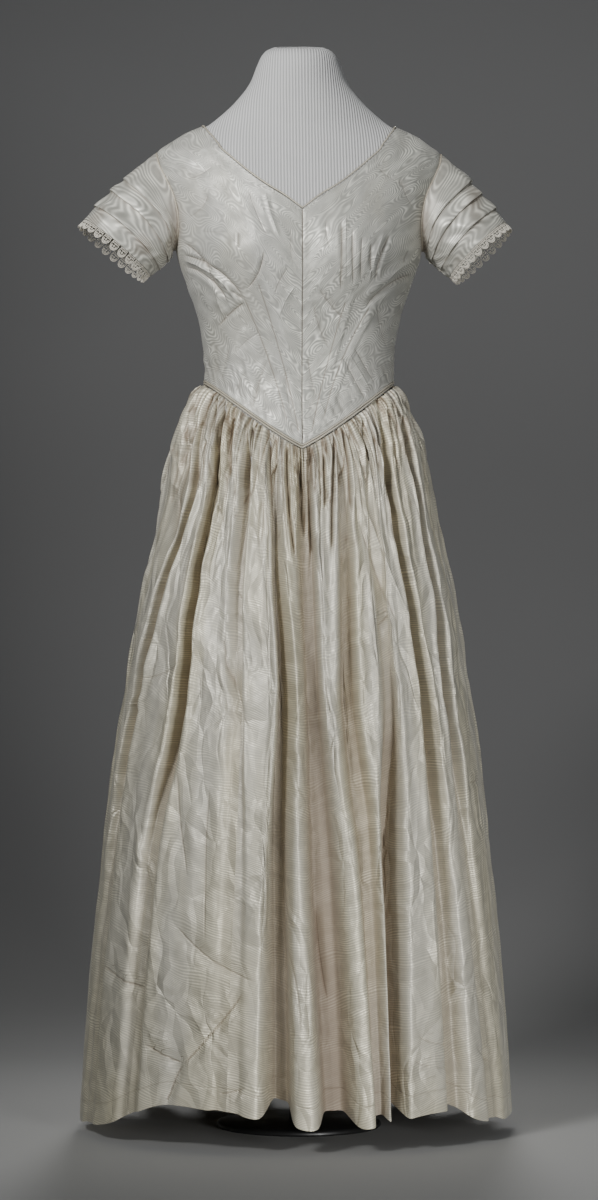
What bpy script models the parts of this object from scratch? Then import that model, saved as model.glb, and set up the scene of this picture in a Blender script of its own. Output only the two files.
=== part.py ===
"""A short-sleeved silk dress with a pointed waist and a gathered skirt, on a limbless dress form.

Blender 4.5 script in metres, +Z up. The dress faces -Y and the wearer's left is +X.
The origin is on the floor, under the middle of the stand's base.

Every ring round the body is read at an angle called turn: 0 at the centre front, a quarter turn at
the wearer's left side, half a turn at the centre back. A share is sin(turn): how far across the
half-width a point lies when it is seen from the front.
"""

import math
from collections import namedtuple

import bmesh
import bpy
from mathutils import Vector

# Cloth and seams
CLOTH = 0.0015
SKIRT_CLOTH = 0.0011
STEEPEST_CLOTH = 0.0034
SEAM_GAP = 0.0004
EASE = 0.0014
FORM_EASE = 0.0006

# Seam heights above the floor
WAIST_SIDE = 0.951
WAIST_POINT = 0.866
NECK_FRONT = 1.166
NECK_BACK = 1.236
SHOULDER_NECK = 1.277
SHOULDER_TIP = 1.242
UNDERARM = 1.121
WAIST_CURVE = 1.12

# The armhole reaches this far each way round the body, whose half depth there turns a length
# into an angle
ARMHOLE_TURN = math.radians(20)
ARM_HALF_DEPTH = 0.09

# The body inside the bodice. pinch draws a ring in towards its two ends, as at the shoulders;
# lean raises its back and lowers its front, as at the top of the neck.
Body = namedtuple("Body", "height half_width front back pinch lean")
BODY = [
    Body(0.760, 0.126, 0.090, 0.100, -0.10, 0.00),
    Body(0.800, 0.130, 0.093, 0.104, -0.10, 0.00),
    Body(0.860, 0.127, 0.094, 0.100, -0.10, 0.00),
    Body(0.910, 0.121, 0.089, 0.088, -0.10, 0.00),
    Body(0.951, 0.1185, 0.085, 0.080, -0.10, 0.00),
    Body(0.993, 0.1200, 0.088, 0.081, -0.10, 0.00),
    Body(1.031, 0.1260, 0.094, 0.085, -0.10, 0.00),
    Body(1.070, 0.1385, 0.100, 0.090, -0.08, 0.00),
    Body(1.115, 0.1535, 0.102, 0.095, -0.05, 0.00),
    Body(1.150, 0.1585, 0.099, 0.097, -0.02, 0.00),
    Body(1.190, 0.1690, 0.090, 0.094, 0.05, 0.00),
    Body(1.215, 0.1780, 0.081, 0.087, 0.15, 0.00),
    Body(1.230, 0.1810, 0.076, 0.082, 0.25, 0.00),
    Body(1.242, 0.1790, 0.072, 0.078, 0.33, 0.00),
    Body(1.254, 0.1640, 0.068, 0.074, 0.40, 0.00),
    Body(1.268, 0.1410, 0.063, 0.070, 0.40, 0.00),
    Body(1.277, 0.1210, 0.060, 0.067, 0.34, 0.00),
    Body(1.290, 0.1035, 0.057, 0.063, 0.24, 0.00),
    Body(1.310, 0.0820, 0.053, 0.058, 0.08, 0.04),
    Body(1.335, 0.0630, 0.050, 0.054, 0.00, 0.10),
    Body(1.356, 0.0545, 0.048, 0.051, 0.00, 0.16),
    Body(1.368, 0.0490, 0.045, 0.047, 0.00, 0.18),
    Body(1.376, 0.0420, 0.039, 0.041, 0.00, 0.18),
    Body(1.380, 0.0330, 0.031, 0.033, 0.00, 0.18),
]
NECK_ROUNDS = 1.36

# Steps between which a slope of the body is read
TURN_STEP = 0.02
HEIGHT_STEP = 0.002

# The bust, cut full in the two fronts by gathers and boned darts
CUP_OUT = 0.070
CUP_HEIGHT = 1.112
CUP_WIDE = 0.046
CUP_TALL = 0.050
CUP_FULL = 0.017
CUP_FADE = 0.5
FORM_CUP_FULL = 0.009

# The front neckline, from its lowest point to the shoulder
NeckEdge = namedtuple("NeckEdge", "share height")
NECK_EDGE = [
    NeckEdge(0.00, NECK_FRONT),
    NeckEdge(0.10, 1.179),
    NeckEdge(0.295, 1.202),
    NeckEdge(0.50, 1.236),
    NeckEdge(0.62, 1.252),
    NeckEdge(0.80, 1.267),
    NeckEdge(1.00, SHOULDER_NECK),
]

# How far up a front or back each row of its mesh lies. The fifth is at the underarm, the fourth
# from last at the shoulder's tip.
BODICE_ROWS = (0.0, 0.10, 0.20, 0.30, 0.40, 0.49, 0.58, 0.66, 0.73, 0.79, 0.84, 0.89, 0.945, 1.0)
FRONT_COLUMNS = 10
BACK_COLUMNS = 9

# Piping cords, by radius, and the turn that each leaves open at either side of the centre back
NECK_CORD = 0.0012
WAIST_CORD = 0.0012
PIPING_OPEN = 0.02
PIPING_STEPS = 48

# Sleeves, from the armhole to the cuff. A cuff's ends are given as if on the wearer's left, and
# tilt lifts its front rim over its back rim.
Cuff = namedtuple("Cuff", "side mirror upper_x upper_z lower_x lower_z tilt")
CUFFS = [
    Cuff("left", 1, 0.264, 1.154, 0.194, 1.088, 0.20),
    Cuff("right", -1, 0.273, 1.157, 0.191, 1.088, 0.08),
]
CUFF_HALF_DEEP = 0.041
CUFF_FORWARD = 0.004
SLEEVE_HEAD = 0.25
SLEEVE_BULGE = 0.002

# Tucks: each band of cloth between two folded edges starts to rise a step after the edge behind
# it, the first one later. They are shallower along the underside.
TUCK_DEPTH = 0.0030
TUCK_STEP = 0.11
TUCK_MIDDLE = 0.55
FIRST_TUCK_START = 0.4
TUCK_FLATTENING = 0.7

# The folded edge of each tuck, as a share of the sleeve's length along its top and its underside
Tuck = namedtuple("Tuck", "top under")
TUCKS = [
    Tuck(0.42, 0.14),
    Tuck(0.60, 0.38),
    Tuck(0.82, 0.70),
]
SLEEVE_COLUMNS = 24

# Lace on each cuff. A scallop's sides are straight down to SCALLOP_SIDE of its depth and slant in
# to its foot, and its hole is the same outline made smaller round its middle.
LACE_DEEP = 0.0125
LACE_THICK = 0.0010
LACE_FLARE = 0.0015
SCALLOPS = 26
SCALLOP_SIDE = 0.60
SCALLOP_HALF_FOOT = 0.24
HOLE_SIZE = 0.58
HOLE_MIDDLE = 0.46

# The skirt's outline, which its fold crests reach. SPRING is the drop within which
# the gathers push it out from the waist seam.
Hang = namedtuple("Hang", "height half_width front back")
HANG = [
    Hang(0.960, 0.149, 0.094, 0.128),
    Hang(0.905, 0.160, 0.106, 0.152),
    Hang(0.865, 0.169, 0.117, 0.166),
    Hang(0.775, 0.183, 0.144, 0.190),
    Hang(0.673, 0.205, 0.176, 0.214),
    Hang(0.571, 0.223, 0.202, 0.236),
    Hang(0.468, 0.240, 0.222, 0.255),
    Hang(0.366, 0.253, 0.239, 0.272),
    Hang(0.263, 0.265, 0.253, 0.288),
    Hang(0.161, 0.274, 0.264, 0.302),
    Hang(0.020, 0.284, 0.275, 0.318),
]
SPRING = 0.019

# The hem's height along its fold crests, seen from the front, and how much a valley lifts it
Hem = namedtuple("Hem", "share height")
HEM = [
    Hem(-1.00, 0.012),
    Hem(-0.90, 0.019),
    Hem(-0.61, 0.055),
    Hem(-0.32, 0.047),
    Hem(0.08, 0.028),
    Hem(0.21, 0.029),
    Hem(0.60, 0.045),
    Hem(0.82, 0.025),
    Hem(1.00, 0.020),
]
HEM_BACK = 0.015
HEM_BACK_SETTLES = 0.35
VALLEY_LIFT = 0.5

# Fold valleys of the front, each a share of the half-width at six levels, with its depth at four
LEVELS = {"waist": 0.951, "hip": 0.82, "thigh": 0.70, "knee": 0.55, "calf": 0.356, "hem": 0.05}
Fold = namedtuple("Fold", "waist hip thigh knee calf hem deep_hip deep_knee deep_calf deep_hem wide")
FRONT_FOLDS = [
    Fold(-0.90, -0.80, -0.88, -0.94, -0.96, -0.96, 0.010, 0.010, 0.006, 0.004, 1.0),
    Fold(-0.80, -0.66, -0.70, -0.70, -0.775, -0.79, 0.018, 0.034, 0.014, 0.006, 0.8),
    Fold(-0.52, -0.42, -0.415, -0.378, -0.354, -0.36, 0.012, 0.009, 0.005, 0.004, 0.9),
    Fold(-0.33, -0.23, -0.187, -0.131, -0.146, -0.136, 0.016, 0.038, 0.055, 0.062, 0.9),
    Fold(0.00, 0.01, 0.02, 0.057, 0.08, 0.155, 0.018, 0.044, 0.048, 0.026, 0.7),
    Fold(0.33, 0.31, 0.29, 0.272, 0.24, 0.25, 0.018, 0.030, 0.010, 0.003, 0.9),
    Fold(0.52, 0.50, 0.49, 0.479, 0.432, 0.404, 0.003, 0.018, 0.050, 0.062, 0.8),
    Fold(0.77, 0.655, 0.66, 0.685, 0.676, 0.685, 0.016, 0.032, 0.018, 0.014, 0.8),
    Fold(0.93, 0.85, 0.85, 0.82, 0.82, 0.86, 0.013, 0.020, 0.010, 0.010, 0.9),
]

# Folds of the sides and back: how many, between which turns, their depths at the same four levels,
# and how unevenly they stand, drift as they fall and are deep
BACK_FOLDS = 11
BACK_FROM = math.radians(92)
BACK_TO = math.radians(268)
BACK_DEPTHS = (0.018, 0.036, 0.044, 0.048)
BACK_UNEVEN_PLACE = 0.045
BACK_DRIFT = 0.03
BACK_UNEVEN_DEPTH = 0.25

# A valley's half width at each level, the most of the way to the next valley that it takes, the
# share of its depth that its edges have, and the drop below the waist where it is at full depth
VALLEY_HALF_WIDTHS = (0.012, 0.012, 0.015, 0.018, 0.024, 0.030)
WIDEST_VALLEY = 0.34
VALLEY_EDGE = 0.12
FOLDS_OPEN = 0.07

# Gathers under the waist seam: drops of their three rings, and how far each ring zigzags. They
# stand out from the body where they are held, and follow the folds from GATHERS_FOLLOW down.
GATHER_DROPS = (0.0, 0.013, 0.042)
GATHER_SWINGS = (0.0012, 0.0026, 0.0022)
GATHERS_OUT = 0.0075
GATHERS_FOLLOW = 0.03
GATHERS_END = 0.085
GATHERS_PER_COLUMN = 3
LOWER_RINGS = 9
HEIGHT_PASSES = 3

# Skirt breadths, named for the wearer's side. Each runs from one column to another, counted as a
# fold and a part of it: 0 and 2 are a valley's edges, 1 its bottom and 3 the crest after it.
Breadth = namedtuple("Breadth", "name first_fold first_part last_fold last_part")
BREADTHS = [
    Breadth("skirt_front", 2, 1, 5, 3),
    Breadth("skirt_side_front_left", 5, 3, 8, 3),
    Breadth("skirt_side_back_left", 8, 3, 11, 1),
    Breadth("skirt_back_left", 11, 1, 14, 1),
    Breadth("skirt_back_right", 14, 1, 17, 1),
    Breadth("skirt_side_back_right", 17, 1, 19, 3),
    Breadth("skirt_side_front_right", -1, 3, 2, 1),
]

# The form's stand
BASE_RADIUS = 0.105
BASE_THICK = 0.008
BASE_RIM = 0.003
BASE_SIDES = 32
POLE_RADIUS = 0.0125
POLE_SIDES = 16
FORM_RING_POINTS = 32

QUARTER = math.pi / 2


# Reading the tables

def read(rows, key, wanted, at):
    """One column of a table, read smoothly and without overshoot where the key column is `at`."""
    xs = [getattr(row, key) for row in rows]
    ys = [getattr(row, wanted) for row in rows]
    return smooth_line(xs, ys, at)


def smooth_line(xs, ys, at):
    """A monotone cubic through the points (xs, ys), level past its ends. xs may run either way."""
    if xs[0] > xs[-1]:
        xs, ys = xs[::-1], ys[::-1]
    if at <= xs[0]:
        return ys[0]
    if at >= xs[-1]:
        return ys[-1]
    rises = [(ys[i + 1] - ys[i]) / (xs[i + 1] - xs[i]) for i in range(len(xs) - 1)]
    slopes = [rises[0]]
    for before, after in zip(rises, rises[1:]):
        slopes.append(0.0 if before * after <= 0 else 2 * before * after / (before + after))
    slopes.append(rises[-1])
    i = next(k for k in range(len(rises)) if at <= xs[k + 1])
    step = xs[i + 1] - xs[i]
    t = (at - xs[i]) / step
    start, end = ys[i], ys[i + 1]
    cubic = 2 * start - 2 * end + step * (slopes[i] + slopes[i + 1])
    square = 3 * end - 3 * start - step * (2 * slopes[i] + slopes[i + 1])
    return ((cubic * t + square) * t + step * slopes[i]) * t + start


def mix(a, b, t):
    return a + (b - a) * t


def ease(t):
    """0 to 1 with a gentle start and end."""
    t = max(0.0, min(1.0, t))
    return t * t * (3 - 2 * t)


# The body

def body_point(turn, height, cup=CUP_FULL):
    """A point on the figure that the bodice fits."""
    side, ahead = math.sin(turn), math.cos(turn)
    depth = read(BODY, "height", "front" if ahead > 0 else "back", height)
    pinch = read(BODY, "height", "pinch", height)
    x = read(BODY, "height", "half_width", height) * side
    y = -depth * ahead * (1 - pinch * side * side)
    if ahead > 0:
        out = (abs(x) - CUP_OUT) / CUP_WIDE
        up = (height - CUP_HEIGHT) / CUP_TALL
        y -= cup * math.exp(-out * out - up * up) * ease(ahead / CUP_FADE)
    z = height + read(BODY, "height", "lean", height) * y
    return Vector((x, y, z))


def body_normal(turn, height, cup=CUP_FULL):
    """The outward direction of the figure there."""
    along = body_point(turn + TURN_STEP, height, cup) - body_point(turn - TURN_STEP, height, cup)
    up = body_point(turn, height + HEIGHT_STEP, cup) - body_point(turn, height - HEIGHT_STEP, cup)
    return along.cross(up).normalized()


def on_body(turn, height, out):
    """A point of the bodice, moved out from the figure."""
    return body_point(turn, height) + body_normal(turn, height) * out


# Seam lines, each a point (turn, height) on the figure

def waist_height(turn):
    """The waist seam: a point at the centre front, level round the back."""
    if math.cos(turn) <= 0:
        return WAIST_SIDE
    return mix(WAIST_POINT, WAIST_SIDE, abs(math.sin(turn)) ** WAIST_CURVE)


def neck_height(turn):
    """The neckline: a V in front, level at the centre back."""
    if math.cos(turn) > 0:
        return read(NECK_EDGE, "share", "height", abs(math.sin(turn)))
    return mix(NECK_BACK, SHOULDER_NECK, math.sin(turn) ** 2)


def armhole(angle, grow=0.0):
    """(turn, height) on the left armhole, or on one grown by a length. angle 0 is the shoulder, a
    quarter turn the front of the arm."""
    middle = (SHOULDER_TIP + UNDERARM) / 2
    half = (SHOULDER_TIP - UNDERARM) / 2
    turn = QUARTER - (ARMHOLE_TURN + grow / ARM_HALF_DEPTH) * math.sin(angle)
    return turn, middle + (half + grow) * math.cos(angle)


# Building walls

def collection_named(name):
    made = bpy.data.collections.new(name)
    bpy.context.scene.collection.children.link(made)
    return made


def material_named(name, colour, roughness, metallic=0.0):
    made = bpy.data.materials.new(name)
    made.use_nodes = True
    shader = made.node_tree.nodes["Principled BSDF"]
    shader.inputs["Base Color"].default_value = (*colour, 1.0)
    shader.inputs["Roughness"].default_value = roughness
    shader.inputs["Metallic"].default_value = metallic
    made.diffuse_color = (*colour, 1.0)
    return made


def add_object(name, mesh, material, into):
    mesh.materials.append(material)
    mesh.shade_smooth()
    mesh.set_sharp_from_angle(angle=math.radians(50))
    made = bpy.data.objects.new(name, mesh)
    into.objects.link(made)
    return made


def mesh_from(name, shape):
    bmesh.ops.recalc_face_normals(shape, faces=shape.faces)
    mesh = bpy.data.meshes.new(name)
    shape.to_mesh(mesh)
    shape.free()
    return mesh


def bridge(shape, upper, lower, closed=False):
    """Faces between two rows of points. The lower row may have a whole number of times fewer steps."""
    spans = len(lower) if closed else len(lower) - 1
    times = (len(upper) if closed else len(upper) - 1) // spans
    for i in range(spans):
        corners = [upper[(i * times + k) % len(upper)] for k in range(times + 1)]
        after = lower[(i + 1) % len(lower)]
        if times == 1:
            shape.faces.new((corners[0], corners[1], after, lower[i]))
            continue
        middle = (times + 1) // 2
        for k in range(times):
            shape.faces.new((corners[k], corners[k + 1], lower[i] if k < middle else after))
        shape.faces.new((corners[middle], after, lower[i]))


def wall(name, outer_rows, inner_rows):
    """A closed wall between two sheets of points, row by row, joined along all four edges."""
    shape = bmesh.new()
    outer = [[shape.verts.new(p) for p in row] for row in outer_rows]
    inner = [[shape.verts.new(p) for p in row] for row in inner_rows]
    for sheet in (outer, inner):
        for upper, lower in zip(sheet, sheet[1:]):
            bridge(shape, upper, lower)
    for row in (0, -1):
        bridge(shape, outer[row], inner[row])
    for end in (0, -1):
        bridge(shape, [row[end] for row in outer], [row[end] for row in inner])
    return mesh_from(name, shape)


def mirrored(rows):
    """The same points on the wearer's other side."""
    return [[Vector((-p.x, p.y, p.z)) for p in row] for row in rows]


def cord(name, line, radius, material, into):
    """A piping cord: a POLY curve with a bevel and filled ends."""
    curve = bpy.data.curves.new(name, "CURVE")
    curve.dimensions = "3D"
    curve.bevel_depth = radius
    curve.bevel_resolution = 1
    curve.use_fill_caps = True
    spline = curve.splines.new("POLY")
    spline.points.add(len(line) - 1)
    for point, place in zip(spline.points, line):
        point.co = (*place, 1.0)
    curve.materials.append(material)
    made = bpy.data.objects.new(name, curve)
    into.objects.link(made)
    return made


# The bodice

def keep_apart(point, front):
    """Keeps a piece half a seam gap on its own side of the side, shoulder and centre seams."""
    half = SEAM_GAP / 2
    y = min(point.y, -half) if front else max(point.y, half)
    return Vector((max(point.x, half), y, point.z))


def bodice_edge_up(share, front):
    """(turn, height) up the side of a front or back: side seam, armhole, then shoulder seam."""
    side_top, armhole_top = BODICE_ROWS[4], BODICE_ROWS[-4]
    sign = 1 if front else -1
    if share <= side_top:
        return QUARTER, mix(waist_top(QUARTER), UNDERARM, share / side_top)
    if share >= armhole_top:
        along = (share - armhole_top) / (1 - armhole_top)
        return QUARTER, mix(SHOULDER_TIP, neck_bottom(QUARTER), along)
    angle = math.pi * (1 - (share - side_top) / (armhole_top - side_top))
    return armhole(sign * angle)


def seam_offset(line, turn, distance):
    """A seam line's height moved up by a distance measured on the figure, square to the line."""
    height = line(turn)
    before, after = turn - TURN_STEP, turn + TURN_STEP
    along = body_point(after, line(after)) - body_point(before, line(before))
    level = body_point(after, height) - body_point(before, height)
    up = body_point(turn, height + HEIGHT_STEP) - body_point(turn, height - HEIGHT_STEP)
    return height + distance * along.length * 2 * HEIGHT_STEP / level.cross(up).length


def waist_top(turn):
    """The bodice's lower edge, above the two waist cords."""
    return seam_offset(waist_height, turn, 2 * WAIST_CORD + 1.5 * SEAM_GAP)


def waist_bottom(turn):
    """The skirt's upper edge, below the two waist cords."""
    return seam_offset(waist_height, turn, -2 * WAIST_CORD - 1.5 * SEAM_GAP)


def neck_bottom(turn):
    """The bodice's neck edge, below the neck cord."""
    return seam_offset(neck_height, turn, -2 * NECK_CORD - 2.5 * SEAM_GAP)


def bodice_sheet(front, columns, rows, out):
    """One sheet of a left front or back, as a patch between its four edges in (turn, height)."""
    middle = 0.0 if front else math.pi
    sheet = []
    for v in rows:
        middle_height = mix(waist_top(middle), neck_bottom(middle), v)
        edge_turn, edge_height = bodice_edge_up(v, front)
        row = []
        for c in range(columns + 1):
            u = c / columns
            turn_across = mix(middle, QUARTER, u)
            across = mix(middle_height, edge_height, u)
            upwards = mix(waist_top(turn_across), neck_bottom(turn_across), v)
            corners_low = mix(waist_top(middle), waist_top(QUARTER), u)
            corners_high = mix(neck_bottom(middle), neck_bottom(QUARTER), u)
            height = across + upwards - mix(corners_low, corners_high, v)
            turn = turn_across + (edge_turn - QUARTER) * u * u
            row.append(keep_apart(on_body(turn, height, out), front))
        sheet.append(row)
    return sheet


def add_bodice(silk, into):
    """The fronts and backs, each a left one and its mirror image."""
    for front, columns in ((True, FRONT_COLUMNS), (False, BACK_COLUMNS)):
        place = "front" if front else "back"
        inner = bodice_sheet(front, columns, BODICE_ROWS, EASE)
        outer = bodice_sheet(front, columns, BODICE_ROWS, EASE + CLOTH)
        left = wall(f"bodice_{place}_left", outer, inner)
        right = wall(f"bodice_{place}_right", mirrored(outer), mirrored(inner))
        add_object(left.name, left, silk, into)
        add_object(right.name, right, silk, into)


def add_piping(silk, into):
    """The neck cord and the two waist cords, each open at the centre back."""
    end = math.pi - PIPING_OPEN
    turns = [mix(-end, end, i / PIPING_STEPS) for i in range(PIPING_STEPS + 1)]
    neck = [on_body(t, seam_offset(neck_height, t, -NECK_CORD), EASE + NECK_CORD) for t in turns]
    cord("neck_piping", neck, NECK_CORD, silk, into)
    for name, side in (("upper", 1), ("lower", -1)):
        drop = side * (WAIST_CORD + SEAM_GAP / 2)
        line = [on_body(t, seam_offset(waist_height, t, drop), EASE + WAIST_CORD) for t in turns]
        cord(f"waist_piping_{name}", line, WAIST_CORD, silk, into)


# Sleeves and lace

def under_share(angle):
    """0 along the top of the sleeve, 1 along its underside."""
    return (1 - math.cos(angle)) / 2


def sleeve_row(row, angle):
    """How far along a row of the sleeve's mesh lies at this angle. The rows follow the tucks."""
    under = under_share(angle)
    edges = [0.0] + [mix(tuck.top, tuck.under, under) for tuck in TUCKS] + [1.0]
    whole = min(int(row), len(edges) - 2)
    return mix(edges[whole], edges[whole + 1], row - whole)


def tuck_rise(row, angle):
    """How far the tucks stand out: each band rises to its folded edge and drops behind it.
    They flatten towards the underarm."""
    band = math.ceil(row) - 1
    if band < 0 or band >= len(TUCKS):
        return 0.0
    start = FIRST_TUCK_START if band == 0 else TUCK_STEP
    flat = 1 - TUCK_FLATTENING * under_share(angle) ** 2
    return TUCK_DEPTH * flat * ease((row - band - start) / (1 - start))


def cuff_centre(cuff):
    return Vector(((cuff.upper_x + cuff.lower_x) / 2, -CUFF_FORWARD, (cuff.upper_z + cuff.lower_z) / 2))


def cuff_point(cuff, angle):
    """A point of a cuff's oval, as if on the wearer's left, and the direction out of it. angle 0 is
    its upper end, a quarter turn its front."""
    long = Vector((cuff.upper_x - cuff.lower_x, 0.0, cuff.upper_z - cuff.lower_z)) / 2
    deep = Vector((0.0, -1.0, cuff.tilt)) * CUFF_HALF_DEEP
    spoke = long * math.cos(angle) + deep * math.sin(angle)
    return cuff_centre(cuff) + spoke, spoke.normalized()


def sleeve_root(angle, grow):
    """A point where the sleeve's head stands on the bodice, round the armhole."""
    turn, height = armhole(angle, grow)
    return on_body(turn, height, EASE + CLOTH + 3 * SEAM_GAP)


def sleeve_point(cuff, angle, row, out):
    """A point of a sleeve's wall, `out` from its inner face. Rows 1 to 3 are the tucks' edges."""
    along = sleeve_row(row, angle)
    end, away = cuff_point(cuff, angle)
    root = sleeve_root(angle, SEAM_GAP)
    at_root = sleeve_root(angle, SEAM_GAP + out) - root
    thick = at_root.lerp(away * out, ease(along / SLEEVE_HEAD))
    rise = SLEEVE_BULGE * math.sin(math.pi * along) + tuck_rise(row, angle)
    return root.lerp(end, along) + thick + away * rise


def sleeve_rows():
    """The rows of the sleeve's mesh, with a close pair at each tuck's edge."""
    rows = [0.0, FIRST_TUCK_START]
    for edge in range(1, len(TUCKS) + 1):
        rows += [edge, edge + TUCK_STEP, edge + TUCK_MIDDLE]
    return rows + [len(TUCKS) + 1]


def sleeve_sheet(cuff, out):
    """Rings of a sleeve, open by a seam gap along its underside."""
    gap = SEAM_GAP / CUFF_HALF_DEEP
    first, last = -math.pi + gap, math.pi - gap
    angles = [mix(first, last, c / SLEEVE_COLUMNS) for c in range(SLEEVE_COLUMNS + 1)]
    return [[sleeve_point(cuff, a, row, out) for a in angles] for row in sleeve_rows()]


def add_sleeves(silk, into):
    """A sleeve for each cuff, from its armhole."""
    for cuff in CUFFS:
        inner = sleeve_sheet(cuff, 0.0)
        outer = sleeve_sheet(cuff, CLOTH)
        if cuff.mirror < 0:
            inner, outer = mirrored(inner), mirrored(outer)
        name = f"sleeve_{cuff.side}"
        add_object(name, wall(name, outer, inner), silk, into)


def lace_point(cuff, angle, deep, out):
    """A point of the lace, `deep` past the cuff's edge."""
    edge, away = cuff_point(cuff, angle)
    fall = (edge - sleeve_point(cuff, angle, len(TUCKS) + 0.5, 0.0)).normalized()
    return edge + away * (out + LACE_FLARE * deep / LACE_DEEP) + fall * (deep + SEAM_GAP)


def scallop_outline(left, right):
    """(angle, depth) round one scallop, from its upper left corner, and the same points of its hole."""
    middle, foot = (left + right) / 2, (right - left) * SCALLOP_HALF_FOOT
    edge = [(left, 0.0), (right, 0.0), (right, SCALLOP_SIDE)]
    edge += [(middle + foot, 1.0), (middle - foot, 1.0), (left, SCALLOP_SIDE)]
    hole = [(mix(middle, a, HOLE_SIZE), mix(HOLE_MIDDLE, d, HOLE_SIZE)) for a, d in edge]
    return edge, hole


def lace_wall(name, cuff, first, last, count):
    """A scalloped strip with a hole through each scallop."""
    shape = bmesh.new()
    made = {}

    def vertex(place, out):
        key = (round(place[0], 5), round(place[1], 4), out)
        if key not in made:
            p = lace_point(cuff, place[0], place[1] * LACE_DEEP, out)
            made[key] = shape.verts.new((p.x * cuff.mirror, p.y, p.z))
        return made[key]

    for i in range(count):
        left, right = mix(first, last, i / count), mix(first, last, (i + 1) / count)
        edge, hole = scallop_outline(left, right)
        for k in range(len(edge)):
            pair = (k, (k + 1) % len(edge))
            for out in (0.0, LACE_THICK):
                ring = [vertex(edge[p], out) for p in pair] + [vertex(hole[p], out) for p in reversed(pair)]
                shape.faces.new(ring)
            through = [(hole[pair[0]], hole[pair[1]])]
            meets_next = k == 1 and i < count - 1
            meets_last = k == 5 and i > 0
            if not meets_next and not meets_last:
                through.append((edge[pair[0]], edge[pair[1]]))
            for a, b in through:
                corners = ((a, 0.0), (b, 0.0), (b, LACE_THICK), (a, LACE_THICK))
                shape.faces.new([vertex(*corner) for corner in corners])
    return mesh_from(name, shape)


def add_lace(thread, into):
    """Each cuff's lace is two strips, so that neither wraps right round the arm."""
    gap = SEAM_GAP / CUFF_HALF_DEEP
    for cuff in CUFFS:
        for place, first in (("front", 0.0), ("back", math.pi)):
            name = f"lace_{cuff.side}_{place}"
            mesh = lace_wall(name, cuff, first + gap, first + math.pi - gap, SCALLOPS // 2)
            add_object(name, mesh, thread, into)


# The skirt

def back_fold(k):
    """A fold of the sides or back, made uneven by sines that don't repeat from fold to fold. Its
    places are turns, not shares."""
    turn = mix(BACK_FROM, BACK_TO, (k + 0.5) / BACK_FOLDS) + BACK_UNEVEN_PLACE * math.sin(2.4 * k + 1.0)
    drift = BACK_DRIFT * math.sin(1.7 * k)
    deeper = 1 + BACK_UNEVEN_DEPTH * math.sin(1.9 * k + 0.5)
    depths = [depth * deeper for depth in BACK_DEPTHS]
    return Fold(turn, turn, turn + drift, turn + drift, turn, turn - drift, *depths, 1.0)


def all_folds():
    """The folds round the skirt, with every place given as a turn."""
    folds = []
    for row in FRONT_FOLDS:
        places = [math.asin(share) for share in row[: len(LEVELS)]]
        folds.append(Fold(*places, *row[len(LEVELS):]))
    return folds + [back_fold(k) for k in range(BACK_FOLDS)]


def fold_turn(fold, height):
    """Where a fold's valley lies at this height."""
    return smooth_line(list(LEVELS.values()), list(fold[: len(LEVELS)]), height)


def fold_depth(fold, height):
    """How deep its valley is there."""
    heights = [LEVELS[name] for name in ("waist", "hip", "knee", "calf", "hem")]
    depths = [0.0, fold.deep_hip, fold.deep_knee, fold.deep_calf, fold.deep_hem]
    return smooth_line(heights, depths, height)


def valley_half_width(fold, height):
    return fold.wide * smooth_line(list(LEVELS.values()), list(VALLEY_HALF_WIDTHS), height)


def hem_height(turn, depth):
    """The hem's height on a crest or, raised, in a valley of this depth."""
    front = read(HEM, "share", "height", math.sin(turn))
    base = mix(front, HEM_BACK, ease(-math.cos(turn) / HEM_BACK_SETTLES))
    return base + VALLEY_LIFT * depth


def hang_point(turn, height):
    """A point of the skirt's outline, before its folds, and the direction out of it."""
    drop = waist_bottom(turn) - height
    wide = read(HANG, "height", "half_width", height)
    deep = read(HANG, "height", "front" if math.cos(turn) > 0 else "back", height)
    free = Vector((wide * math.sin(turn), -deep * math.cos(turn), height))
    held = on_body(turn, waist_bottom(turn), GATHERS_OUT)
    released = 1 - math.exp(-max(drop, 0.0) / SPRING)
    place = held.lerp(free, released)
    place.z = height
    out = Vector((math.sin(turn) / wide, -math.cos(turn) / deep, 0.0)).normalized()
    return place, out


def ring_columns(folds, height):
    """(turn, fold index or None, share of its depth) of each column of a level ring: two valley
    edges with the valley's bottom between them, then the crest after it."""
    turns = [fold_turn(fold, height) for fold in folds]
    turns.append(turns[0] + 2 * math.pi)
    gaps = [after - turn for turn, after in zip(turns, turns[1:])]
    half_wide = read(HANG, "height", "half_width", height)
    halves = []
    for i, fold in enumerate(folds):
        room = WIDEST_VALLEY * min(gaps[i], gaps[i - 1])
        halves.append(min(room, valley_half_width(fold, height) / half_wide))
    columns = []
    for i in range(len(folds)):
        half, after_half = halves[i], halves[(i + 1) % len(folds)]
        columns.append((turns[i] - half, i, VALLEY_EDGE))
        columns.append((turns[i], i, 1.0))
        columns.append((turns[i] + half, i, VALLEY_EDGE))
        columns.append(((turns[i] + half + turns[i + 1] - after_half) / 2, None, 0.0))
    return columns


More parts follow.
